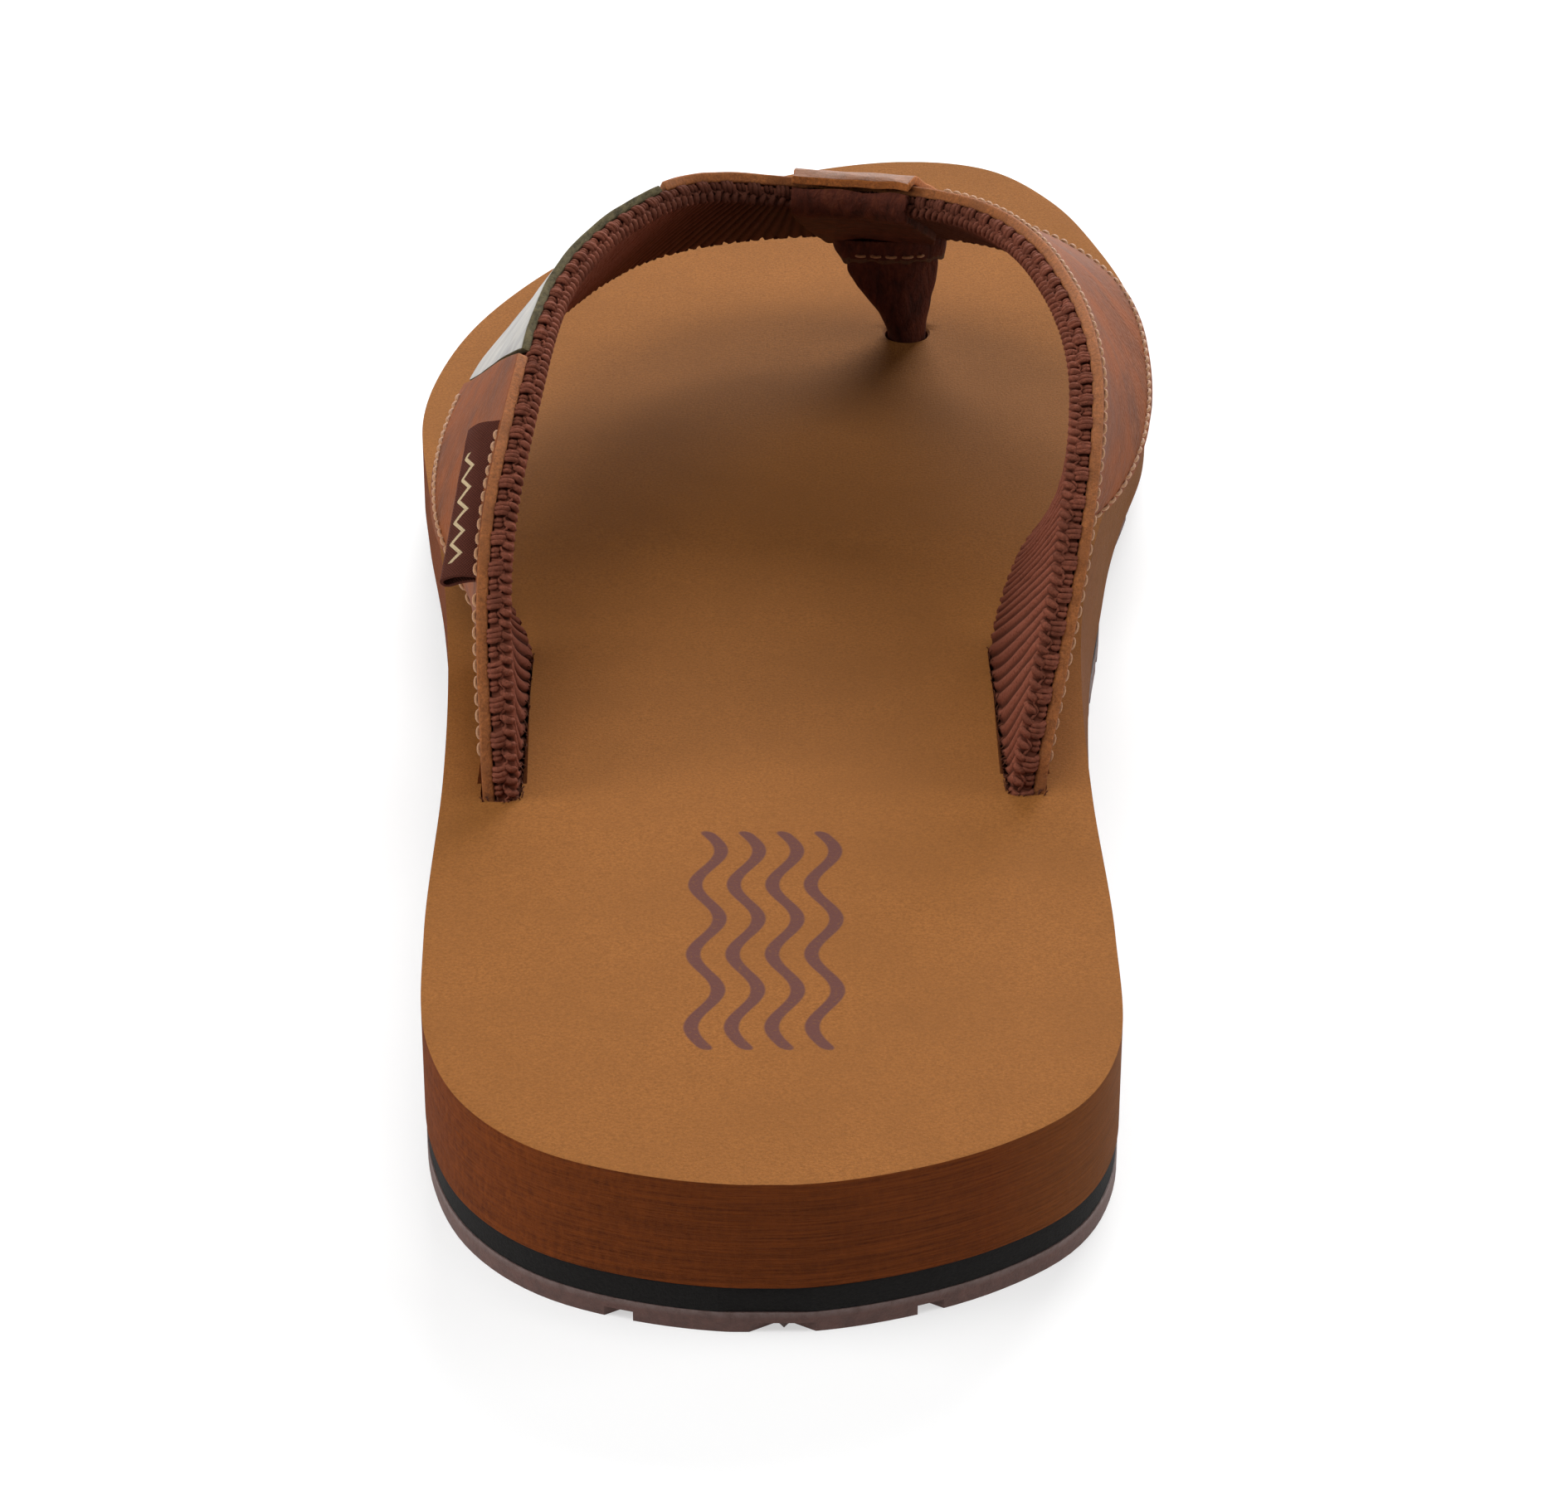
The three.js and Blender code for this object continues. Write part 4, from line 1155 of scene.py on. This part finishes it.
class FLIPFLOP_OT_toe_wrap(bpy.types.Operator):
    """Build the leather loop round the strap above the toe post"""

    bl_idname = "flipflop.toe_wrap"
    bl_label = "Toe Wrap"

    def execute(self, context):
        width = strap_width(WRAP_REAR[0])
        points = wrap_section(width)
        last, length = len(points) - 1, 2.2 * width
        breadth = 2 * WRAP_REAR[1] * strap_length((WRAP_REAR[0], WRAP_REAR[0] + 1), 0.0)
        bm = flat_strip(length, breadth, WRAP_THICKNESS, columns=22, rows=150, rim=0.3)
        # The lower half takes the post's darker leather: partly the wrap's own darker underside, partly
        # painted shade under the strap.
        for face in bm.faces:
            below = face.calc_center_median().x > 0.52 * length
            rim = abs(face.normal.z) < 0.9
            face.material_index = 1 if below else 2 if rim else 0

        def place(v):
            t, side = v.co.x / length * last, 2 * v.co.y / breadth - 1
            section = wrap_skin(points, t, v.co.z)
            w = section.y / width
            centre, half = mix(WRAP_REAR[0], WRAP_FRONT[0], w), mix(WRAP_REAR[1], WRAP_FRONT[1], w)
            sag = 0.3 * noise.noise(Vector((t * 0.8, side * 2, 0)))
            ragged = 1 + 0.03 * noise.noise(Vector((t * 1.5, 9.0 * round(side), 2.0)))
            return centre + side * half * ragged, w, section.z + sag

        lay_on_strap(bm, place)
        settings = context.scene.flipflop_toe
        rim = raw_edge_material(settings.cut_edge, "toe_wrap_cut_edge")
        under = post_material(settings, "toe_wrap_underside")
        finish_piece("toe_wrap_leather", bm, [wrap_material(settings), under, rim], slot="wrap_leather",
                     replaces=["toe_wrap"], sharp=math.radians(50))
        return {"FINISHED"}


class FLIPFLOP_OT_toe_post(bpy.types.Operator):
    """Build the toe post and the stitches above it"""

    bl_idname = "flipflop.toe_post"
    bl_label = "Toe Post"

    def execute(self, context):
        low_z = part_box("toe_post")[0].z / MM
        bm = bmesh.new()
        bmesh.ops.create_grid(bm, x_segments=48, y_segments=40, size=0.5)
        for v in bm.verts:
            angle = math.tau * (v.co.x + 0.5)
            z = mix(low_z, POST_TOP["z"], v.co.y + 0.5)
            v.co = placed(self.post_point(angle, z))
        bmesh.ops.remove_doubles(bm, verts=bm.verts[:], dist=1e-6)
        bmesh.ops.holes_fill(bm, edges=bm.edges[:])
        bmesh.ops.recalc_face_normals(bm, faces=bm.faces[:])
        settings = context.scene.flipflop_toe
        finish_piece("toe_post_leather", bm, [post_material(settings)], slot="post_leather",
                     replaces=["toe_post"], sharp=math.radians(50))
        self.hem(settings)
        self.stitches(context)
        washer = frame["nodes"]["toe_anchor"]
        washer.data.materials.clear()
        washer.data.materials.append(washer_material())
        return {"FINISHED"}

    def post_point(self, angle, z):
        """The post's skin: flat and wide at the top, round where it enters the sole."""
        flare = smoothstep((z - POST_FLARE[0]) / (POST_FLARE[1] - POST_FLARE[0]))
        half_width = mix(POST_FOOT["radius"], POST_TOP["half_width"], flare)
        half_depth = mix(POST_FOOT["radius"], POST_TOP["half_depth"], flare)
        wander = noise.noise(Vector((math.cos(angle), z * 0.5, 1.0)))
        fold = 1 + 0.05 * flare * math.cos(5 * angle) + 0.05 * wander
        x = mix(POST_FOOT["x"], POST_TOP["x"], flare) + half_width * fold * math.cos(angle)
        y = mix(POST_FOOT["y"], POST_TOP["y"], flare) + half_depth * fold * math.sin(angle)
        return Vector((x, y, z))

    def hem(self, settings):
        """The wrap's two ends, closed round the head of the post, with a ragged lower edge."""
        bm = bmesh.new()
        bmesh.ops.create_grid(bm, x_segments=72, y_segments=12, size=0.5)
        for v in bm.verts:
            angle, share = math.tau * (v.co.x + 0.5), v.co.y + 0.5
            low = HEM_Z[0] + 0.9 * noise.noise(Vector((4 * math.cos(angle), 4 * math.sin(angle), 1.0)))
            z = mix(low, HEM_Z[1], share)
            out = Vector((math.cos(angle), math.sin(angle), 0)) * mix(0.15, 0.5, share)
            lean = Vector((-1.4 * share * max(0.0, -math.cos(angle)), 0.0, 0.0))
            v.co = placed(self.post_point(angle, z) + out + lean)
        bmesh.ops.remove_doubles(bm, verts=bm.verts[:], dist=1e-6)
        bmesh.ops.recalc_face_normals(bm, faces=bm.faces[:])
        bmesh.ops.solidify(bm, geom=bm.faces[:], thickness=-HEM_THICKNESS * MM)
        bmesh.ops.recalc_face_normals(bm, faces=bm.faces[:])
        for face in bm.faces:
            face.material_index = 1 if face.calc_center_median().z < (HEM_Z[0] + 0.4) * MM else 0
        rim = raw_edge_material(settings.raw_edge, "toe_hem_cut_edge")
        finish_piece("toe_wrap_hem", bm, [post_material(settings, "toe_hem_leather"), rim],
                     slot="wrap_leather", sharp=math.radians(50))

    def stitches(self, context):
        """The row that closes the wrap, just above the post."""
        thread = thread_material(context.scene.flipflop_strap)

        def point(k, along):
            step = along * STITCH_STEPS
            angle = -math.pi / 2 + ((k - 2) * 2.4 + step * 0.25) / POST_TOP["half_width"]
            skin = self.post_point(angle, HEM_Z[0] + 1.0)
            return skin + Vector((0, -1.2 + 0.035 * step**2, 0))

        paths = [stitch(lambda along, k=k: point(k, along)) for k in range(5)]
        mesh = tubes("toe_wrap_stitches", paths, THREAD_RADIUS * MM)
        piece_from_mesh("toe_wrap_stitches", mesh, [thread], slot="thread", replaces=["toe_wrap_thread"])


# ---------------------------------------------------------------- label

def label_frame():
    """The label's own frame from its hinge: x along the seam, y out to the fold, z off the strap."""
    joint = next(j for j in frame["joints"] if j["name"] == "label_flap")
    origin, x = Vector(joint["pos_m"]), Vector(joint["axis"]).normalized()
    normal = strap_normal(sum(TAG_STATIONS) / 2, 0.0)
    z = (normal - x * normal.dot(x)).normalized()
    matrix = Matrix((x, z.cross(x), z)).transposed().to_4x4()
    opened = matrix @ Matrix.Rotation(TAG_OPENING_ANGLE, 4, "X")
    opened.translation = origin
    return opened


def label_path():
    """The cloth's way round the loop, as (out, up) in millimetres, from one sewn end to the other."""
    radius = TAG_LOOP / 2 - 0.22
    fold_at = TAG_WIDTH - TAG_LOOP / 2
    points = [(-1.5, -1.6), (-0.6, -1.1), (0.4, -0.75), (1.4, -radius), (fold_at, -radius)]
    for k in range(1, 12):
        turn = math.pi * (k / 12 - 0.5)
        points.append((fold_at + radius * math.cos(turn), radius * math.sin(turn)))
    return points + [(fold_at, radius), (1.4, radius), (0.4, 0.25), (-0.6, -0.4), (-1.5, -1.1)]


class FLIPFLOP_OT_label(bpy.types.Operator):
    """Build the loop label with its sewn ends and stitches"""

    bl_idname = "flipflop.label"
    bl_label = "Loop Label"

    def execute(self, context):
        matrix = label_frame()
        length = strap_length(TAG_STATIONS, 0.0)
        points = [Vector((0, out, up)) for out, up in label_path()]
        last = len(points) - 1
        travelled = [0.0]
        for a, b in zip(points, points[1:]):
            travelled.append(travelled[-1] + (b - a).length)
        bm = bmesh.new()
        bmesh.ops.create_grid(bm, x_segments=40, y_segments=last * 3, size=0.5)
        uv = bm.loops.layers.uv.new("flat")
        flat = {}
        for v in bm.verts:
            t, along = (v.co.y + 0.5) * last, (v.co.x + 0.5) * length
            section = smooth_point(points, t)
            section.rotate(Matrix.Rotation(TAG_TWIST * (v.co.x + 0.5), 3, "X"))
            i = min(int(t), last - 1)
            flat[v] = (along, mix(travelled[i], travelled[i + 1], t - i) - travelled[last // 2])
            sag = 0.14 * noise.noise(Vector((along * 0.3, t * 0.4, 3.0)))
            v.co = matrix @ (Vector((along, section.y, section.z + sag)) * MM)
        for face in bm.faces:
            for loop in face.loops:
                loop[uv].uv = Vector(flat[loop.vert]) * MM
        bmesh.ops.recalc_face_normals(bm, faces=bm.faces[:])
        bmesh.ops.solidify(bm, geom=bm.faces[:], thickness=0.42 * MM)
        bmesh.ops.recalc_face_normals(bm, faces=bm.faces[:])
        finish_piece("loop_label", bm, [tag_material(context.scene.flipflop_toe)], body="label",
                     slot="label_cloth", replaces=["side_tag"], sharp=math.radians(50))
        thread = thread_material(context.scene.flipflop_strap)
        seam_stitches("label_stitches", TAG_STATIONS, "rear", thread, "side_tag_thread")
        return {"FINISHED"}


# ---------------------------------------------------------------- stage

class FLIPFLOP_PG_stage(bpy.types.PropertyGroup):
    """Camera, floor and light."""

    camera_back: bpy.props.FloatProperty(
        name="Camera Back", description="How far behind the sandal's centre the camera stands",
        unit="LENGTH", default=0.57725)
    camera_height: bpy.props.FloatProperty(
        name="Camera Height", description="Camera's height above the floor", unit="LENGTH", default=0.311)
    camera_pitch: bpy.props.FloatProperty(
        name="Camera Pitch", description="How far the camera looks down", subtype="ANGLE",
        default=math.radians(28.8))
    focal_length: bpy.props.FloatProperty(
        name="Focal Length", description="Lens on a 36 mm wide sensor", default=110.476)
    floor: colour_setting("Floor", "Floor colour", (0.5, 0.5, 0.5))


def area_light(name, place, target, size, power):
    light = bpy.data.lights.new(name, "AREA")
    light.shape = "SQUARE"
    light.size = size
    light.energy = power
    holder = linked(name, light)
    holder.location = place
    aim = Vector(target) - Vector(place)
    holder.rotation_euler = aim.to_track_quat("-Z", "Y").to_euler()


class FLIPFLOP_OT_stage(bpy.types.Operator):
    """Set the camera, the floor and the lights"""

    bl_idname = "flipflop.stage"
    bl_label = "Stage"

    def execute(self, context):
        settings = context.scene.flipflop_stage
        self.camera(context, settings)
        self.floor(settings)
        area_light("key_light", (0.4, 2.1, 0.98), (0, 0.0, 0.02), 1.4, 86)
        area_light("top_light", (-0.1, -0.25, 1.3), (0, -0.05, 0), 1.0, 8.5)
        area_light("left_light", (-1.0, -0.15, 0.5), (0, -0.03, 0.02), 0.6, 7.0)
        area_light("right_light", (1.0, -0.05, 0.5), (0, -0.03, 0.02), 0.6, 4.4)
        world = bpy.data.worlds.new("studio")
        context.scene.world = world
        world.use_nodes = True
        world.node_tree.nodes["Background"].inputs["Color"].default_value = (1, 1, 1, 1)
        world.node_tree.nodes["Background"].inputs["Strength"].default_value = 0.07
        context.scene.view_settings.view_transform = "Standard"
        return {"FINISHED"}

    def camera(self, context, settings):
        camera = bpy.data.cameras.new("camera")
        camera.sensor_width = 36
        camera.lens = settings.focal_length
        camera.clip_start = 0.01
        holder = linked("camera", camera)
        holder.location = (DRAWING_SHIFT.x * MM, -settings.camera_back, settings.camera_height)
        holder.rotation_euler = (math.pi / 2 - settings.camera_pitch, 0, 0)
        context.scene.camera = holder

    def floor(self, settings):
        bm = bmesh.new()
        bmesh.ops.create_grid(bm, x_segments=1, y_segments=1, size=6)
        mesh = mesh_of("floor", bm)
        s = Surface("floor_paper", roughness=0.9, Emission_Color=(1, 1, 1, 1), Emission_Strength=0.55)
        grain = s.noise(s.object_space(), 0.02, detail=2.0)
        s.colour(s.shades(grain, settings.floor, 0.99, 1.0))
        mesh.materials.append(s.material)
        linked("floor", mesh)


# ---------------------------------------------------------------- panel and registration

OPERATORS = (
    FLIPFLOP_OT_footbed,
    FLIPFLOP_OT_lower_layers,
    FLIPFLOP_OT_webbing,
    FLIPFLOP_OT_facings,
    FLIPFLOP_OT_toe_wrap,
    FLIPFLOP_OT_toe_post,
    FLIPFLOP_OT_label,
    FLIPFLOP_OT_stage,
)
SETTINGS = {
    "flipflop_sole": FLIPFLOP_PG_sole,
    "flipflop_strap": FLIPFLOP_PG_strap,
    "flipflop_toe": FLIPFLOP_PG_toe,
    "flipflop_stage": FLIPFLOP_PG_stage,
}


class FLIPFLOP_PT_pieces(bpy.types.Panel):
    """The pieces of the flip flop, each with its button"""

    bl_idname = "FLIPFLOP_PT_pieces"
    bl_label = "Flip Flop"
    bl_space_type = "VIEW_3D"
    bl_region_type = "UI"
    bl_category = "Flip Flop"

    def draw(self, context):
        for name, group in SETTINGS.items():
            settings = getattr(context.scene, name)
            for key in group.__annotations__:
                self.layout.prop(settings, key)
        for operator in OPERATORS:
            self.layout.operator(operator.bl_idname)


def register():
    for group in SETTINGS.values():
        bpy.utils.register_class(group)
    for name, group in SETTINGS.items():
        setattr(bpy.types.Scene, name, bpy.props.PointerProperty(type=group))
    for cls in (*OPERATORS, FLIPFLOP_PT_pieces):
        bpy.utils.register_class(cls)


def unregister():
    for cls in reversed((*OPERATORS, FLIPFLOP_PT_pieces)):
        bpy.utils.unregister_class(cls)
    for name, group in SETTINGS.items():
        delattr(bpy.types.Scene, name)
        bpy.utils.unregister_class(group)


def main():
    register()
    for operator in OPERATORS:
        group, name = operator.bl_idname.split(".")
        getattr(getattr(bpy.ops, group), name)()


if __name__ == "__main__":
    main()
